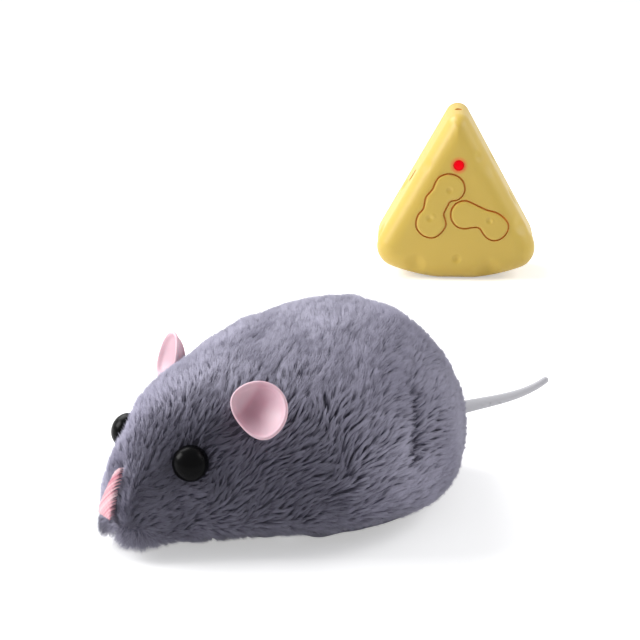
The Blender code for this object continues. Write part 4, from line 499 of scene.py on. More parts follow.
for place, facing, up in EARS.values():
    for share in (0.35, 1.0):
        end = root + way * length[:, None] * share + normal * rise[:, None] * share
        seen = (end - place) @ axes_of(facing, up).T
        flat = seen[:, :2] - (0, EAR_CHORD)
        reach = np.hypot(*flat.T) / ear_edge(np.arctan2(flat[:, 1], flat[:, 0]))
        keep &= (reach > 1.02) | (seen[:, 2] < -0.0022) | (seen[:, 2] > 0.008)
parts = (form, normal, root, way, cross, length, rise, loose)
form, normal, root, way, cross, length, rise, loose = (part[keep] for part in parts)
locks = len(root)

angle = rng.uniform(0, 2 * np.pi, (locks, STRANDS))
reach = np.sqrt(rng.uniform(0, 1, (locks, STRANDS)))
ahead = (reach * np.cos(angle) * LOCK_HALF_LENGTH)[..., None] * way[:, None]
beside = (reach * np.sin(angle) * LOCK_HALF_WIDTH)[..., None] * cross[:, None]
beside *= (1 + 2.5 * np.clip(loose - 1, 0, 1.2))[:, None, None]
own_length = (length[:, None] * rng.uniform(0.7, 1.15, (locks, STRANDS)))[..., None]
own_rise = (rise[:, None] * rng.uniform(0.7, 1.1, (locks, STRANDS)))[..., None]
own_stray = rng.normal(0, 0.05 + 0.13 * loose[:, None], (locks, STRANDS))[..., None]
out = normal[:, None]
start = root[:, None] + ahead + beside - out * 0.0002
closing = (0.06 + 0.8 * loose)[:, None, None]
tip = root[:, None] + ahead * (0.45 + 0.4 * loose)[:, None, None] + beside * closing
tip += (way[:, None] + cross[:, None] * own_stray) * own_length + out * own_rise
around = np.arange(3) * 2 * np.pi / 3
spoke = (
    np.cos(around)[:, None] * cross[:, None, None] + np.sin(around)[:, None] * out[:, None]
) * STRAND_RADIUS
points = np.concatenate([start[:, :, None] + spoke, tip[:, :, None]], axis=2)
points[..., 2] = np.maximum(points[..., 2], 0.0006)
strand_faces = np.array([(0, 1, 3), (1, 2, 3), (2, 0, 3), (0, 2, 1)])
tint = 0.5 + 0.16 * rng.normal(size=(locks, 1)) + 0.22 * ripple(form, 0.03, 31)[:, None]
tint = np.clip(tint + 0.18 * rng.normal(size=(locks, STRANDS)), 0, 1)

# Acrylic pile: satin strands, pale at the tip and painted dark at the root as painted shade,
# so that locks read as light streaks over shaded gaps, with a soft sheen where the pile is seen
# edge on.
pile, tree, shader = new_finish("acrylic pile", roughness=0.62, sheen_weight=0.15)
shader.inputs["Sheen Roughness"].default_value = 0.5
shader.inputs["Sheen Tint"].default_value = colour("#c9c8d2")
tip_shade = blend(tree, stored(tree, "tint"), "#a5a2b8", "#c6c3d8")
# Along each strand the colour runs from painted shade at the root to the tip's own pale tone.
paint(tree, shader, blend(tree, stored(tree, "along"), "#403c50", tip_shade))

order = np.argsort(form[:, 1])
bands = "muzzle cheeks brow crown shoulders middle loins haunches rump".split()
for part, name in zip(np.array_split(order, len(bands)), bands):
    strands = len(part) * STRANDS
    faces = (np.arange(strands)[:, None, None] * 4 + strand_faces).reshape(-1, 3)
    tuft = surface(f"pile_{name}", points[part].reshape(-1, 3) + mouse, faces)
    # along is 0 at the root and 1 at the tip: the material darkens the root with painted shade.
    marked(tuft, "along", np.tile((0, 0, 0, 1), strands))
    marked(tuft, "tint", np.repeat(tint[part].ravel(), 4))
    tuft.data.materials.append(pile)
    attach(tuft, "mouse")

# Ears: soft vinyl shells, thin and dished, with a pale rolled rim. A crease runs slantwise
# over the base, steep on its inner side, where the vinyl is folded over into its stem.
EAR_THICKNESS = 0.0011
EAR_CUP = 0.0028


def closed_rings(rings):
    """Points and faces of a closed piece through equal rings: quads between them, and a
    fan to the middle of the first and of the last."""
    rings = np.asarray(rings)
    count, size = rings.shape[:2]
    middles = rings[[0, -1]].mean(axis=1)
    points = np.concatenate([rings.reshape(-1, 3), middles])
    number = np.arange(count * size).reshape(count, size)
    ahead = np.roll(number, -1, axis=1)
    quads = np.stack([number[:-1], ahead[:-1], ahead[1:], number[1:]], axis=-1)
    first = np.stack([np.full(size, count * size), ahead[0], number[0]], axis=1)
    last = np.stack([np.full(size, count * size + 1), number[-1], ahead[-1]], axis=1)
    faces = facing_out(points, [quads.reshape(-1, 4), first, last])
    return points, faces


def crease(x, y):
    """How deep in the fold a place on the ear is, from 0 to 1: a bell about a slanting
    line, narrow on one side and wide on the other, that fades towards the line's ends."""
    across = (x + 0.0034) * 0.966 + (y - 0.0002) * 0.259
    along = (x + 0.0034) * 0.259 - (y - 0.0002) * 0.966
    width = np.where(across < 0, 0.0011, 0.0046)
    return bell(across, 0, width) * bell(along, 0, 0.0062)


def ear_rings():
    """A disc with its base at the origin, its tip along y and its hollow facing z. The
    dish is cup r^2 less the crease; the rim is half a circle between front and back."""
    turn = np.linspace(0, 2 * np.pi, 120, endpoint=False)
    outline = ear_edge(turn)
    shares = np.concatenate([np.linspace(0.03, 0.88, 30), (0.91, 0.94, 0.965, 0.985, 0.995)])
    half = EAR_THICKNESS / 2

    def ring(share, offset):
        x, y = outline * share * np.cos(turn), outline * share * np.sin(turn)
        fold = crease(x, y) * (1 - share**5)
        roll = 0.0006 * bell(share, 0.92, 0.08)
        z = EAR_CUP * share**2 - 0.0009 * fold + roll + offset
        return np.stack([x, y + EAR_CHORD, z], axis=1)

    edge = np.sqrt(1 - np.clip((shares - 0.9) / 0.1, 0, 1) ** 2)
    front = [ring(share, half * thin) for share, thin in zip(shares, edge)]
    back = [ring(share, -half * thin) for share, thin in zip(shares[::-1], edge[::-1])]
    return [*front, ring(1.0, 0), *back]


# Vinyl: smooth and half matt, with light that passes a little way in, which makes the pink glow
# along the rim.
# The deeper rose in the fold and towards the middle of the dish is painted shade.
vinyl, tree, shader = new_finish("moulded pink vinyl", roughness=0.45)
shader.inputs["Subsurface Weight"].default_value = 0.25
shader.inputs["Subsurface Radius"].default_value = (1.0, 0.45, 0.45)
shader.inputs["Subsurface Scale"].default_value = 0.001
# The hollow mark paints shade: darker rose in the crease and towards the middle of the dish.
paint(tree, shader, blend(tree, stored(tree, "hollow"), "#e6c4cf", "#cf9dad"))
bumped(tree, shader, noise(tree, 900, 2), 0.00002)

for name, (place, facing, up) in EARS.items():
    flat, faces = closed_rings(ear_rings())
    mirror = (1 if name == "left" else -1, 1, 1)
    spot = flat * mirror @ axes_of(facing, up) + place + mouse
    ear = surface(f"{name}_ear_shell", spot, *facing_out(spot, faces))
    x, y = flat[:, 0], flat[:, 1] - EAR_CHORD
    reach = np.hypot(x, y) / ear_edge(np.arctan2(y, x))
    # hollow: painted shade, deepest in the crease and falling off towards the rim.
    marked(ear, "hollow", np.clip(1.15 * crease(x, y) + 0.25 * (1 - reach), 0, 1))
    ear.data.materials.append(vinyl)
    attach(ear, "mouse")
    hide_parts(f"{name}_ear")

# Eyes: black beads, moulded with a stem that snaps into the dome, polished domes that
# sink a little into the pile.
EYE_RISE = 0.0042

lean = np.linspace(0.02, 1, 30) * np.pi / 2
profile = np.stack([EYE_RADIUS * np.sin(lean), EYE_RISE * np.cos(lean)], axis=1)
skirt = [(EYE_RADIUS * 0.985, -0.0006), (EYE_RADIUS * 0.93, -0.0014), (0.0004, -0.0016)]
profile = np.concatenate([profile, skirt])
around = np.linspace(0, 2 * np.pi, 64, endpoint=False)
bead = [np.stack([r * np.cos(around), r * np.sin(around), np.full(64, h)], 1) for r, h in profile]

# Polished polystyrene: deep black with one soft light on it, dulled by fine rub marks.
# Its gloss is set low, because glossy rays that leave the toy meet plain white here.
gloss, tree, shader = new_finish("polished black polystyrene", roughness=0.22)
shader.inputs["Specular IOR Level"].default_value = 0.05
shader.inputs["Base Color"].default_value = colour("#060607")
paint(tree, shader, ranged(tree, noise(tree, 260, 4), to_min=0.16, to_max=0.34), "Roughness")

for name, (place, facing) in EYES.items():
    flat, faces = closed_rings(bead)
    spot = flat @ axes_of(facing, (0, 0, 1)) + place + mouse
    eye_bead = surface(f"{name}_eye_bead", spot, *facing_out(spot, faces))
    eye_bead.data.materials.append(gloss)
    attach(eye_bead, "mouse")
    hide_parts(f"{name}_eye")

# Nose: satin stitch in bright pink rayon, laid slantwise side by side straight through
# the plush, so its right edge is ragged where the needle went in at uneven places.
STITCH_PITCH = 0.0003
STITCH_STEPS = 15


def face_terms(x, z):
    """Terms of the polynomial for the front of the face: powers of height alone, and of
    width squared times powers of height."""
    wide, high = (x / 0.01) ** 2, (z - 0.016) / 0.01
    plain = [np.ones_like(high), high, high**2, high**3, high**4]
    return np.stack([*plain, wide, wide * high, wide * high**2, wide**2], axis=-1)


turn, side = np.meshgrid(np.linspace(0.03, 0.5, 120), np.linspace(-1, 1, 401))
front = body_point(turn, side).reshape(-1, 3)
front = front[(np.abs(front[:, 0]) < 0.0075) & (front[:, 2] > 0.007) & (front[:, 2] < 0.027)]
weights = np.linalg.lstsq(face_terms(front[:, 0], front[:, 2]), front[:, 1], rcond=None)[0]

rng = np.random.default_rng(5)
slant = np.array((1.0, 1.0)) / 2**0.5
offsets = (corners @ (-slant[1], slant[0])).min(), (corners @ (-slant[1], slant[0])).max()
offset = np.arange(offsets[0] + 0.0004, offsets[1] - 0.0002, STITCH_PITCH)
starts = offset[:, None] * (-slant[1], slant[0])
low, high = np.full(len(offset), -1.0), np.full(len(offset), 1.0)
for start, end in zip(corners, np.roll(corners, -1, axis=0)):
    inward = np.array((start[1] - end[1], end[0] - start[0]))
    slope = slant @ inward
    cut = ((start - starts) @ inward) / slope
    low = np.maximum(low, cut) if slope > 0 else low
    high = np.minimum(high, cut) if slope < 0 else high
low += rng.uniform(-0.0002, 0.0002, len(low))
high += rng.uniform(-0.0003, 0.0007, len(low))
steps = np.linspace(0, 1, STITCH_STEPS)
run = low[:, None] + (high - low)[:, None] * steps
flat = starts[:, None] + run[..., None] * slant
x, z = np.moveaxis(flat, -1, 0)
y = face_terms(x, z) @ weights
step = 0.0002
slope_x = (face_terms(x + step, z) - face_terms(x - step, z)) @ weights / (2 * step)
slope_z = (face_terms(x, z + step) - face_terms(x, z - step)) @ weights / (2 * step)
out = np.stack([slope_x, np.full_like(x, -1), slope_z], axis=-1)
out /= np.linalg.norm(out, axis=-1, keepdims=True)
arch = np.sqrt(np.clip(1 - (2 * steps - 1) ** 4, 0, 1))
lift = -0.0004 + 0.0011 * arch
line = np.stack([x, y, z], axis=-1) + out * lift[:, None]
along = np.gradient(line, axis=1)
along /= np.linalg.norm(along, axis=-1, keepdims=True)
over = np.cross(along, out)
radius = STITCH_PITCH * (0.3 + 0.28 * arch)[:, None, None]
around = np.linspace(0, 2 * np.pi, 10, endpoint=False)[:, None]
rings = line[:, :, None] + radius * (
    np.cos(around) * over[:, :, None] + np.sin(around) * out[:, :, None] * 0.9
)
made = [closed_rings(stitch + mouse) for stitch in rings]
size = len(made[0][0])
nose_faces = [
    np.concatenate([faces[k] + i * size for i, (_, faces) in enumerate(made)]) for k in range(3)
]

# Rayon thread: silky, so each stitch has a bright line along its crest; the shades of
# pink differ a little from stitch to stitch.
rayon, tree, shader = new_finish("pink rayon thread", roughness=0.38, sheen_weight=0.2)
paint(tree, shader, blend(tree, stored(tree, "tint"), "#e07c92", "#fbd6dc"))
# Twist of the thread, 0.25 mm a turn in life, drawn at 0.5 mm.
inputs = {"Vector": coordinates(tree), "Scale": 300, "Distortion": 1.5}
twist = add(tree, "ShaderNodeTexWave", inputs, bands_direction="DIAGONAL")
bumped(tree, shader, twist.outputs["Fac"], 0.00008)

stitches = surface("nose_satin_stitch", np.concatenate([own for own, _ in made]), *nose_faces)
marked(stitches, "tint", np.repeat(rng.uniform(0, 1, len(made)), size))
stitches.data.materials.append(rayon)
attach(stitches, "mouse")
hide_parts("nose_stitching")

# Tail: a tapered rod of soft grey vinyl with a round tip, plugged through the rump into
# the dome, bent a little upwards at its free end.
TAIL_LENGTH = 0.0315
TAIL_HEIGHT = 0.0161
TAIL_STOPS = ((-0.25, 0), (0.02, 0), (0.276, -0.006), (0.552, -0.01), (0.81, 0.016), (0.99, 0.067))
TAIL_RADII = (0.0019, 0.00105)

stops = np.array(TAIL_STOPS) * TAIL_LENGTH + (BODY_LENGTH / 2, TAIL_HEIGHT)
share = np.linspace(0, 1, 70)
bent = np.polynomial.Polynomial.fit(stops[:, 0], stops[:, 1], 4)
y = np.interp(share, (0, 1), (stops[0, 0], stops[-1, 0]))
line = np.stack([np.zeros(70), y, bent(y)], axis=1)
radius = np.interp(share, (0.2, 1), TAIL_RADII)
way = np.gradient(line, axis=0)
way /= np.linalg.norm(way, axis=1)[:, None]
lean = np.linspace(0, 0.97, 9)[1:] * np.pi / 2
line = np.concatenate([line, line[-1] + way[-1] * TAIL_RADII[1] * np.sin(lean)[:, None]])
radius = np.concatenate([radius, TAIL_RADII[1] * np.cos(lean)])
way = np.concatenate([way, np.repeat(way[-1:], len(lean), axis=0)])
around = np.linspace(0, 2 * np.pi, 32, endpoint=False)
up = np.cross(way, (1.0, 0, 0))
rings = (
    line[:, None]
    + np.cos(around)[None, :, None] * radius[:, None, None] * np.array([1.0, 0, 0])
    + np.sin(around)[None, :, None] * radius[:, None, None] * up[:, None]
)

# Soft vinyl: matt grey with faint handling marks along it.
grey_vinyl, tree, shader = new_finish("soft grey vinyl", roughness=0.5)
marks = noise(tree, 320, 5)
sharp = ranged(tree, marks, from_min=0.62, from_max=0.72)
paint(tree, shader, blend(tree, sharp, "#c6c5ca", "#a9a8ae"))
bumped(tree, shader, marks, 0.00004)

points, faces = closed_rings(rings + mouse)
tail = surface("tail_rod", points, *faces)
tail.data.materials.append(grey_vinyl)
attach(tail, "mouse")
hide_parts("tail")

# Works under the mouse and inside both shells: these keep their CAD shapes. Each gets
# the finish of its real material: moulded and turned plastics, rubber, steel and board.


def moulded(name, code, roughness, dark_share=0.9, grain=0.0004, relief=0.00001):
    """A moulded plastic: one colour that drifts a little, over a fine spark-eroded
    texture. grain is the texture's size and relief its depth, in metres."""
    made, tree, shader = new_finish(name, roughness=roughness)
    deep = (*(value * dark_share for value in colour(code)[:3]), 1.0)
    paint(tree, shader, blend(tree, noise(tree, 60, 2), code, deep))
    bumped(tree, shader, noise(tree, 1 / grain, 2), relief)
    return made


def metal(name, code, roughness, scale):
    """A metal with fine lines from drawing or turning: noise stretched along x drives
    its roughness. scale is in lines per metre."""
    made, tree, shader = new_finish(name, metallic=1.0, roughness=roughness)
    shader.inputs["Base Color"].default_value = colour(code)
    inputs = {"Vector": coordinates(tree), "Scale": (0.08, 1, 1)}
    stretched = add(tree, "ShaderNodeMapping", inputs)
    inputs = {"Vector": stretched.outputs["Vector"], "Scale": scale, "Detail": 3}
    lines = add(tree, "ShaderNodeTexNoise", inputs).outputs["Fac"]
    uneven = ranged(tree, lines, to_min=roughness * 0.7, to_max=roughness * 1.4)
    paint(tree, shader, uneven, "Roughness")
    return made


finishes = (
    (
        moulded("moulded black ABS", "#1f1f22", 0.48, 0.8, 0.0005, 0.00003),
        "chassis battery_cover switch_slider remote_switch_slider",
    ),
    (
        moulded("moulded white ABS", "#e4e3dd", 0.4),
        "body_shell steering_bridge left_wheel right_wheel motor_strap",
    ),
    (
        moulded("moulded acetal", "#e9e6da", 0.35, 0.95),
        "axle_gear compound_gear motor_pinion front_fork",
    ),
    (
        moulded("grey moulded nylon", "#8c8c8f", 0.5),
        "front_wheel go_key_plunger turn_key_plunger",
    ),
    (
        moulded("black tyre rubber", "#202022", 0.78, 0.75, 0.0007, 0.00006),
        "left_tyre right_tyre",
    ),
    (
        metal("drawn steel", "#b9b9bb", 0.3, 4000),
        "axle_shaft idler_pin motor_shaft front_wheel_pin motor remote_switch_body "
        "switch_body go_key_switch turn_key_switch",
    ),
    (
        metal("zinc-plated steel", "#a9adb3", 0.34, 6000),
        "chassis_screw_1 chassis_screw_2 chassis_screw_3 chassis_screw_4 remote_screw_1 "
        "remote_screw_2 remote_screw_3 battery_cover_screw swivel_screw remote_door_screw",
    ),
    (
        metal("nickel-plated strip", "#c4c0b8", 0.25, 5000),
        "remote_contact_left remote_contact_right charging_socket",
    ),
    (
        moulded("green board laminate", "#1f5a35", 0.35, 0.85, 0.0011, 0.00002),
        "circuit_board remote_circuit_board",
    ),
    (moulded("blue shrink wrap", "#2c5f9e", 0.3, 0.85, 0.002, 0.00005), "battery_pack"),
    (
        moulded("green cell jacket", "#2e6b4f", 0.28, 0.9, 0.003, 0.00002),
        "remote_cell_inner remote_cell_outer",
    ),
    (
        moulded("dark infrared resin", "#16121c", 0.12, 0.9),
        "infrared_receiver infrared_emitter",
    ),
)
for made, names in finishes:
    for name in names.split():
        for place in frame["nodes"][name].material_slots:
            place.material = made

# Remote shells: two moulded halves shaped as a wedge of cheese, front and back, screwed
# together from behind. The face and flanks have shallow round hollows for its holes.
RIND_RADIUS = 0.070
HALF_ANGLE = np.radians(29)
POINT_RADIUS = 0.0047
CORNER_RADIUS = 0.0083
REMOTE_DEPTH = 0.032
EDGE_RADIUS = 0.0077
REAR_RADIUS = 0.0035
WALL = 0.002
PARTING = 0.0276
FOOT_LIFT = RIND_RADIUS - np.sqrt(RIND_RADIUS**2 - 0.007**2)
REMOTE_TURN = np.radians(53)
SWITCH_HEIGHT = 0.0385
SWITCH_DEPTH = 0.015
SLOT_HALF = (0.0024, 0.0011)


def on_remote(points):
    """From the remote's own width, depth and height to the frame."""
    cos, sin = np.cos(REMOTE_TURN), np.sin(REMOTE_TURN)
    axes = np.array([(cos, sin, 0), (-sin, cos, 0), (0, 0, 1)])
    return np.asarray(points) @ axes + remote


def slice_outline(inset):
    """The wedge's outline drawn in by inset: arcs about the two lower corners, the point
    and the rind's centre, with straight flanks between, standing flat at its foot."""
    reach = RIND_RADIUS - CORNER_RADIUS
    bend = HALF_ANGLE - np.arcsin(CORNER_RADIUS / reach)
    corner = np.array([reach * np.sin(bend), RIND_RADIUS - reach * np.cos(bend)])
    tip = max(POINT_RADIUS - inset, 0.0006)
    point = np.array([0, RIND_RADIUS - (inset + tip) / np.sin(HALF_ANGLE)])
    flank = np.pi / 2 - HALF_ANGLE

    def arc(centre, radius, start, end, steps):
        turn = np.linspace(start, end, steps)
        return centre + radius * np.stack([np.sin(turn), np.cos(turn)], axis=1)

    right = arc(corner, CORNER_RADIUS - inset, np.pi - bend, flank, 36)
    top = arc(point, tip, flank, -flank, 36)
    left = arc(corner * (-1, 1), CORNER_RADIUS - inset, -flank, bend - np.pi, 36)
    rind = arc((0, RIND_RADIUS), RIND_RADIUS - inset, bend - np.pi, -np.pi - bend, 110)
    rise = np.linspace(0, 1, 72)[1:-1, None]
    up = right[-1] + (top[0] - right[-1]) * rise
    down = top[-1] + (left[0] - top[-1]) * rise
    outline = np.concatenate([right, up, top, down, left, rind[1:-1]])
    outline[:, 1] = np.maximum(outline[:, 1] - FOOT_LIFT, inset)
    return outline


def slice_ring(inset, depth, share=1.0):
    middle = np.array([0, 0.026])
    flat = middle + (slice_outline(inset) - middle) * share
    return np.stack([flat[:, 0], np.full(len(flat), depth), flat[:, 1]], axis=1)


def edge_ring(turn, radius):
    """Inset and depth of a ring on an edge rounded to that radius: turn 0 on the face and
    a quarter turn on the flank."""
    return radius * (1 - np.sin(turn)), radius * (1 - np.cos(turn))


# Hollows: place in width, depth and height, radius and depth, in millimetres.
HOLLOWS = np.array(
    [
        (8.9, 0, 49.8, 3.2, 1.3),
        (11.5, 0, 45.5, 5.5, 0.5),
        (0.2, 0, 9.1, 2.2, 0.7),
        (-15.8, 0, 6.6, 4.8, 1.2),
        (12.0, 0, 4.4, 6.4, 1.9),
        (-13.0, 3, 46.0, 3.4, 0.5),
        (25.0, 3, 22.5, 4.6, 0.9),
        (-29.5, 12, 16.0, 5.5, 1.1),
        (-20.5, 21, 34.0, 4.0, 0.8),
        (22.0, 15, 31.0, 4.6, 1.0),
        (31.0, 18, 13.0, 4.2, 0.8),
        (14.0, 22, 45.0, 3.2, 0.7),
        (-9.0, 32, 40.0, 4.2, 0.9),
        (16.5, 32, 33.5, 3.4, 0.7),
        (-19.0, 32, 7.0, 4.4, 0.9),
        (21.0, 32, 6.5, 3.4, 0.8),
    ]
) / 1000


def hollowed(rings, spots):
    """Presses bowls into a skin: within r of a spot the surface moves in along its own
    normal by depth (1 - (d / r)^2)^2."""
    rings = np.array(rings)
    along = np.gradient(rings, axis=0)
    round_it = np.roll(rings, -1, axis=1) - np.roll(rings, 1, axis=1)
    normal = np.cross(along, round_it)
    normal /= np.maximum(np.linalg.norm(normal, axis=-1, keepdims=True), 1e-12)
    outward = rings - (0, REMOTE_DEPTH / 2, 0.024)
    turned = np.sign(np.einsum("ijk,ijk->ij", normal, outward).sum())
    push = np.zeros(rings.shape[:2])
    for x, depth, z, radius, deep in spots:
        away = np.linalg.norm(rings - (x, depth, z), axis=-1) / radius
        push += deep * np.clip(1 - away**2, 0, 1) ** 2
    return rings - normal * turned * push[..., None]


def smooth_loop(stops, count, soften):
    """A closed curve through stops: cubic between them, evenly spaced, then averaged
    with its neighbours over the length soften."""
    stops = np.asarray(stops, float)
    slope = (np.roll(stops, -1, axis=0) - np.roll(stops, 1, axis=0)) / 2
    u = np.linspace(0, 1, 24, endpoint=False)[None, :, None]
    a, b = stops[:, None], np.roll(stops, -1, axis=0)[:, None]
    c, d = slope[:, None], np.roll(slope, -1, axis=0)[:, None]
    curve = hermite(u, a, b, c, d).reshape(-1, 2)
    closed = np.concatenate([curve, curve[:1]])
    run = np.concatenate([[0], np.cumsum(np.linalg.norm(np.diff(closed, axis=0), axis=1))])
    even = np.linspace(0, run[-1], count, endpoint=False)
    loop = np.stack([np.interp(even, run, closed[:, k]) for k in (0, 1)], axis=1)
    reach = int(round(soften / (run[-1] / count)))
    parts = [np.roll(loop, shift, axis=0) for shift in range(-reach, reach + 1)]
    return np.mean(parts, axis=0)


def grown(loop, amount):
    """The loop moved outwards by amount along its normals."""
    way = np.roll(loop, -1, axis=0) - np.roll(loop, 1, axis=0)
    way /= np.linalg.norm(way, axis=1)[:, None]
    out = np.stack([way[:, 1], -way[:, 0]], axis=1)
    area = np.sum(loop[:, 0] * np.roll(loop[:, 1], -1) - loop[:, 1] * np.roll(loop[:, 0], -1))
    return loop + out * amount * np.sign(area)


def bar(*steps):
    """A bar across the face, from pairs of an outline and a depth."""
    return [np.stack([loop[:, 0], np.full(len(loop), d), loop[:, 1]], 1) for loop, d in steps]


def stepped(loop, low, step, high, wider):
    """A bar with that outline down to the depth step, and from there wider."""
    wide = grown(loop, wider)
    return bar((loop, low), (loop, step), (wide, step), (wide, high))


def carve(piece, tool, operation):
    """Leaves piece less the tool, or what both share, as a plain mesh."""
    step = piece.modifiers.new("carve", "BOOLEAN")
    step.operation = operation
    step.solver = "EXACT"
    step.material_mode = "TRANSFER"
    step.object = tool
    graph = bpy.context.evaluated_depsgraph_get()
    made = bpy.data.meshes.new_from_object(piece.evaluated_get(graph))
    piece.modifiers.clear()
    piece.data = made
    bpy.data.objects.remove(tool)


def tools(rings_list, finish):
    """One cutting tool from several closed pieces given by their rings. The walls that it
    cuts take its finish."""
    points, faces, base = [], [[], []], 0
    for rings in rings_list:
        own, parts = closed_rings(rings)
        parts = facing_out(own, parts)
        points.append(own)
        faces[0].append(parts[0] + base)
        faces[1] += [parts[1] + base, parts[2] + base]
        base += len(own)
    moved = on_remote(np.concatenate(points))
    made = surface("tool", moved, *(np.concatenate(part) for part in faces))
    made.data.materials.append(finish)
    return made


def remote_piece(name, rings, finish):
    """A closed piece through rings in the remote's own width, depth and height."""
    points, faces = closed_rings(rings)
    points = on_remote(points)
    made = surface(name, points, *facing_out(points, faces))
    made.data.materials.append(finish)
    return made


lamp_place = np.array((0.0003, 0.0461))
lamp_middle = tuple(on_remote(np.array((lamp_place[0], -0.0004, lamp_place[1]))))


def from_lamp(tree, **ends):
    """The distance from the lamp's middle, taken from one range to another."""
    pair = {0: coordinates(tree), 1: lamp_middle}
    away = add(tree, "ShaderNodeVectorMath", pair, operation="DISTANCE")
    return ranged(tree, away.outputs["Value"], **ends)


# ABS in cheese yellow: half matt and a little translucent, so its edges glow. Round the
# lamp it is lit red from within, a glow that fades over the next millimetre.
cheese, tree, shader = new_finish("moulded yellow ABS", roughness=0.42)
shader.inputs["Subsurface Weight"].default_value = 0.15
shader.inputs["Subsurface Radius"].default_value = (1.0, 0.7, 0.2)
shader.inputs["Subsurface Scale"].default_value = 0.0012
yellow = blend(tree, noise(tree, 45, 2), "#d4b654", "#caab46")
glow = from_lamp(tree, from_min=0.0018, from_max=0.0036, to_min=0.8, to_max=0.0)
paint(tree, shader, blend(tree, glow, yellow, "#ee3a28"))
# The mould's spark-eroded grain, about 0.1 mm in life, drawn at 0.5 mm.
bumped(tree, shader, noise(tree, 2000, 2), 0.00001)

# Walls cut into it, such as the grooves round the buttons: the same plastic, amber where
# light has come through it, a little uneven with its thickness.
cut_wall, tree, shader = new_finish("yellow ABS, lit through", roughness=0.5)
paint(tree, shader, blend(tree, noise(tree, 260, 2), "#eca038", "#d98a22"))

# Middle lines of the grooves round the two buttons, in millimetres on the face.
GO_GROOVE = (
    (-3.4, 42.8), (-0.8, 42.3), (1.6, 40.6), (2.8, 37.6), (2.3, 34.9), (0.4, 32.8),
    (-2.6, 32.0), (-3.6, 30.3), (-4.8, 27.9), (-5.0, 26.6), (-4.3, 24.4), (-4.2, 22.4),
    (-5.6, 19.9), (-7.8, 18.0), (-10.0, 17.5), (-13.0, 18.5), (-15.2, 21.0), (-15.6, 23.8),
    (-14.8, 26.6), (-12.9, 29.0), (-12.5, 31.2), (-11.8, 33.9), (-9.6, 36.6), (-8.6, 39.2),
    (-7.1, 41.5), (-5.1, 42.5),
)  # fmt: skip
TURN_GROOVE = (
    (3.1, 32.4), (5.5, 31.6), (8.4, 30.2), (11.8, 28.7), (14.7, 28.0), (17.2, 26.5),
    (19.1, 24.5), (19.9, 22.3), (19.1, 19.7), (17.2, 17.6), (14.5, 16.7), (12.0, 17.6),
    (10.3, 19.3), (8.6, 21.7), (5.9, 21.8), (3.0, 21.3), (0.3, 22.0), (-1.6, 24.0),
    (-2.4, 26.7), (-1.8, 29.5), (0.1, 31.6),
)  # fmt: skip
GROOVE_HALF = 0.00031
go_loop = smooth_loop(np.array(GO_GROOVE) / 1000, 260, 0.0004)
turn_loop = smooth_loop(np.array(TURN_GROOVE) / 1000, 240, 0.0004)

turns = np.linspace(0, np.pi / 2, 13)
face = [slice_ring(EDGE_RADIUS, 0, share) for share in np.linspace(0.02, 0.985, 56)]
edge = [slice_ring(*edge_ring(turn, EDGE_RADIUS)) for turn in turns]
flank = [slice_ring(0, depth) for depth in np.linspace(EDGE_RADIUS, PARTING, 21)[1:]]
outside = hollowed([*face, *edge, *flank], HOLLOWS)
inner_edge = [(WALL + 0.0004, PARTING), (WALL, PARTING - 0.0003), (WALL, 0.0068)]
inside = [slice_ring(*step) for step in (*inner_edge, (0.0036, 0.0038))]
inside += [slice_ring(EDGE_RADIUS, WALL, share) for share in (0.97, 0.6, 0.2)]
front = remote_piece("cheese_front", [*outside, *inside], cheese)

ring_turn = np.linspace(0, 2 * np.pi, 40, endpoint=False)
disc = np.stack([np.cos(ring_turn), np.sin(ring_turn)], axis=1)
flank_out = np.array([-np.cos(HALF_ANGLE), 0, np.sin(HALF_ANGLE)])
flank_up = np.array([np.sin(HALF_ANGLE), 0, np.cos(HALF_ANGLE)])
flank_x = (RIND_RADIUS - FOOT_LIFT - SWITCH_HEIGHT) * np.tan(HALF_ANGLE)
switch_place = np.array([-flank_x, SWITCH_DEPTH, SWITCH_HEIGHT])
slot_corners = np.array([(-1, -1), (1, -1), (1, 1), (-1, 1)]) * SLOT_HALF
slot_rings = [
    [switch_place + flank_out * out + flank_up * up + (0, deep, 0) for up, deep in slot_corners]
    for out in (-0.004, 0.002)
]
hole_rings = [
    np.stack([disc[:, 0] * r, REMOTE_DEPTH / 2 + disc[:, 1] * r, np.full(40, z)], 1)
    for r, z in ((0.0010, 0.056), (0.0010, 0.0600), (0.0014, 0.0630), (0.0014, 0.066))
]
cutters = tools(
    [
        stepped(grown(go_loop, GROOVE_HALF), -0.004, 0.001, 0.006, 0.0002),
        stepped(grown(turn_loop, GROOVE_HALF), -0.004, 0.001, 0.006, 0.0002),
        bar((lamp_place + disc * 0.0021, -0.004), (lamp_place + disc * 0.0021, 0.006)),
        slot_rings,
        hole_rings,
    ],
    cut_wall,
)
carve(front, cutters, "DIFFERENCE")
front.data.set_sharp_from_angle(angle=np.radians(35))

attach(front, "remote")
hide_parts("remote_front_shell")

# Back half of the remote: the same outline, with the battery door's opening and three
# recesses for the screws.
rear_edge = [edge_ring(turn, REAR_RADIUS) for turn in turns]
rear_edge = [(inset, REMOTE_DEPTH - depth) for inset, depth in rear_edge]
shares = np.linspace(0.02, 0.985, 40)
rear = [slice_ring(REAR_RADIUS, REMOTE_DEPTH, share) for share in shares]
rear += [slice_ring(*step) for step in rear_edge]
rear += [slice_ring(0, PARTING + 0.0003)]
rear = hollowed(rear, HOLLOWS)
lining = [slice_ring(WALL, PARTING + 0.0003), slice_ring(WALL + 0.0004, 0.0295)]
lining += [slice_ring(REAR_RADIUS, 0.030, share) for share in (0.95, 0.5, 0.1)]
back = remote_piece("cheese_back", [*rear, *lining], cheese)
screws = [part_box(f"remote_screw_{i}") for i in (1, 2, 3)]


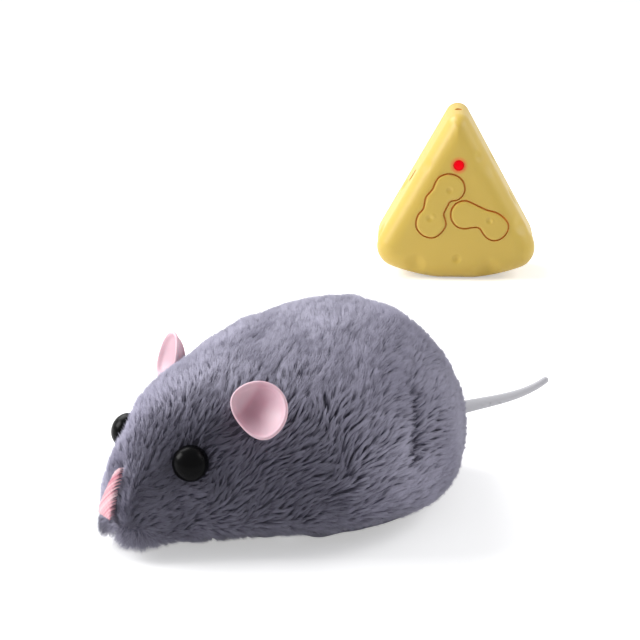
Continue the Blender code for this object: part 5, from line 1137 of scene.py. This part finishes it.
def own_place(corners):
    """Middle of a box in the remote's own width and height."""
    middle = (np.array(corners[0]) + np.array(corners[1])) / 2 - remote
    cos, sin = np.cos(REMOTE_TURN), np.sin(REMOTE_TURN)
    return np.array([middle[0] * cos + middle[1] * sin, middle[2]])


half_door, tab = 0.02345, 0.0043
low_door, high_door = 0.00825, 0.01935
door_outline = np.array(
    [
        (-half_door, low_door), (half_door, low_door), (half_door, high_door),
        (tab, high_door), (tab, high_door + 0.0065), (-tab, high_door + 0.0065),
        (-tab, high_door), (-half_door, high_door),
    ]
)  # fmt: skip
wells = [own_place(corners) + disc * 0.0021 for corners in screws]
recesses = [bar((well, 0.029), (well, 0.036)) for well in wells]
opening = bar((door_outline, 0.028), (door_outline, 0.036))
carve(back, tools([opening, *recesses], cheese), "DIFFERENCE")
back.data.set_sharp_from_angle(angle=np.radians(35))
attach(back, "remote")
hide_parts("remote_back_shell")
for place in frame["nodes"]["remote_battery_door"].material_slots:
    place.material = cheese

# Buttons: two moulded caps in the same yellow, one of three lobes and one of two, each
# a little proud of the face, with a rounded edge and a small dent to find it by touch.
PROUD = 0.0006
CAP_EDGE = 0.0006


def cap(name, loop, dents):
    """A block whose front follows proud - edge rounding by the distance to the outline,
    less the dents, cut to the outline, with a flange behind the face that keeps it in."""
    low, high = loop.min(axis=0) - 0.0012, loop.max(axis=0) + 0.0012
    xs = np.linspace(low[0], high[0], 130)
    zs = np.linspace(low[1], high[1], 130)
    x, z = np.meshgrid(xs, zs)
    spots = np.stack([x.ravel(), z.ravel()], axis=1)
    off = np.sqrt(((spots[:, None] - loop[None, ::2]) ** 2).sum(axis=2)).min(axis=1)
    off = np.minimum(off.reshape(x.shape), CAP_EDGE * 2.4)
    fall = np.clip(CAP_EDGE * 2.4 - off, 0, None) / (CAP_EDGE * 2.4)
    front_depth = -PROUD + CAP_EDGE * (1 - np.sqrt(np.clip(1 - fall**2.6, 0, 1)))
    for dent_x, dent_z, radius, deep in dents:
        away = np.hypot(x - dent_x, z - dent_z) / radius
        front_depth += deep * np.clip(1 - away**2, 0, 1) ** 2
    rows, columns = x.shape
    top = np.stack([x, front_depth, z], axis=-1)
    bottom = np.stack([x, np.full(x.shape, 0.0024), z], axis=-1)
    points = np.concatenate([top.reshape(-1, 3), bottom.reshape(-1, 3)])
    number = np.arange(rows * columns).reshape(rows, columns)
    quads = np.stack(
        [number[:-1, :-1], number[:-1, 1:], number[1:, 1:], number[1:, :-1]], axis=-1
    ).reshape(-1, 4)
    rim = np.concatenate([number[0], number[1:, -1], number[-1, -2::-1], number[-2:0:-1, 0]])
    other = quads[:, ::-1] + rows * columns
    wall = strips(rim + rows * columns, rim)
    points = on_remote(points)
    made = surface(name, points, *facing_out(points, [quads, other, wall]))
    made.data.materials.append(cheese)
    flange = stepped(loop, -0.004, 0.00105, 0.0022, 2 * GROOVE_HALF + 0.00009)
    carve(made, tools([flange], cut_wall), "INTERSECT")
    made.data.set_sharp_from_angle(angle=np.radians(38))
    return made


for name, loop, dents, body in (
    (
        "go_cap",
        grown(go_loop, -GROOVE_HALF),
        ((-0.003, 0.0365, 0.0016, 0.00045), (-0.0104, 0.0254, 0.0018, 0.00045))
        + ((-0.0091, 0.0262, 0.0014, -0.0002),),
        "go_button",
    ),
    (
        "turn_cap",
        grown(turn_loop, -GROOVE_HALF),
        ((0.0123, 0.0247, 0.0015, 0.00045), (0.0136, 0.0246, 0.0011, -0.00015)),
        "turn_button",
    ),
):
    made = cap(name, loop, dents)
    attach(made, body)
    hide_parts(body)

# Lamp: a red 4 mm lens, clipped into the face from inside, lit while a key is pressed.
lean = np.linspace(0.03, 1, 14) * np.pi / 2
lens_rings = [
    np.stack([lamp_place[0] + disc[:, 0] * r, np.full(40, d), lamp_place[1] + disc[:, 1] * r], 1)
    for r, d in [*zip(0.00195 * np.sin(lean), -0.0007 * np.cos(lean)), (0.00195, 0.0022)]
]
# Tinted acrylic: deep red, lit from behind, a little brighter in its middle.
lamp_red, tree, shader = new_finish("lit red acrylic", roughness=0.25)
shader.inputs["Specular IOR Level"].default_value = 0.05
shader.inputs["Emission Strength"].default_value = 0.9
rim = from_lamp(tree, from_min=0.0012, from_max=0.0021)
paint(tree, shader, blend(tree, rim, "#ff0014", "#e00010"), "Emission Color")
shader.inputs["Base Color"].default_value = colour("#300004")
lens = remote_piece("lamp_lens", lens_rings, lamp_red)
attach(lens, "remote")
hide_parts("indicator_lamp")

# Stage: a white sweep under a large soft light above and to the left, a smaller one low
# on the left, one from behind on the right and a pale world. The camera, reflections and
# refractions see plain white.
def white_rays(tree):
    """1 for a ray from the camera, off a gloss or through something clear, else 0."""
    seen = add(tree, "ShaderNodeLightPath", {}).outputs
    pair = {0: seen["Is Camera Ray"], 1: seen["Is Glossy Ray"]}
    first = add(tree, "ShaderNodeMath", pair, operation="MAXIMUM")
    pair = {0: first.outputs[0], 1: seen["Is Transmission Ray"]}
    return add(tree, "ShaderNodeMath", pair, operation="MAXIMUM").outputs[0]


floor_size = 3.0
floor = surface(
    "floor",
    np.array([(-1, -1, 0), (1, -1, 0), (1, 1, 0), (-1, 1, 0)]) * floor_size,
    np.array([(0, 1, 2, 3)]),
)
paper, tree, shader = new_finish("white paper sweep", roughness=0.9)
shader.inputs["Base Color"].default_value = (0.9, 0.9, 0.9, 1)
glow = add(tree, "ShaderNodeEmission", {"Color": (1, 1, 1, 1), "Strength": 0.45})
both = add(tree, "ShaderNodeAddShader", {0: shader.outputs[0], 1: glow.outputs[0]})
rays = {0: white_rays(tree), 1: shader.outputs[0], 2: both.outputs[0]}
picked = add(tree, "ShaderNodeMixShader", rays)
tree.links.new(picked.outputs[0], tree.nodes["Material Output"].inputs["Surface"])
floor.data.materials.append(paper)

world = bpy.data.worlds.new("studio")
bpy.context.scene.world = world
world.use_nodes = True
tree = world.node_tree
background = tree.nodes["Background"]
background.inputs["Color"].default_value = (0.95, 0.96, 1.0, 1)
background.inputs["Strength"].default_value = 0.3
white = add(tree, "ShaderNodeBackground", {"Color": (1, 1, 1, 1), "Strength": 1.0})
rays = {0: white_rays(tree), 1: background.outputs[0], 2: white.outputs[0]}
picked = add(tree, "ShaderNodeMixShader", rays)
tree.links.new(picked.outputs[0], tree.nodes["World Output"].inputs["Surface"])


def lamp(name, place, target, size, power):
    """A square soft light at place that faces target. Its power is in watts."""
    light = bpy.data.lights.new(name, "AREA")
    light.size = size
    light.energy = power
    made = bpy.data.objects.new(name, light)
    bpy.context.collection.objects.link(made)
    aim = Vector(target) - Vector(place)
    made.location = place
    made.rotation_euler = aim.to_track_quat("-Z", "Y").to_euler()


lamp("key", (-0.55, -0.10, 0.58), (0.0, 0.0, 0.02), 0.5, 5.0)
lamp("left", (-0.35, -0.6, 0.42), (0.05, -0.05, 0.02), 0.35, 4.8)
lamp("rear", (0.35, 0.55, 0.5), (0.0, 0.0, 0.0), 0.5, 3.0)

camera = bpy.data.cameras.new("camera")
# 101.25 mm over a 36 mm sensor is 1800 pixels at 640 wide.
camera.lens = 101.25
camera.sensor_width = 36
camera.clip_start = 0.01
viewer = bpy.data.objects.new("camera", camera)
bpy.context.collection.objects.link(viewer)
bpy.context.scene.camera = viewer
back_way = np.array((0.7892, -0.5308, 0.3090))
right_way = np.array((0.5581, 0.8298, 0.0))
up_way = np.cross(back_way, right_way)
spot = np.array((0.3828, -0.2494, 0.2017)) + mouse
turned = Matrix(np.stack([right_way, up_way, back_way], axis=1).tolist()).to_4x4()
turned.translation = spot.tolist()
viewer.matrix_world = turned

bpy.context.scene.view_settings.view_transform = "Standard"
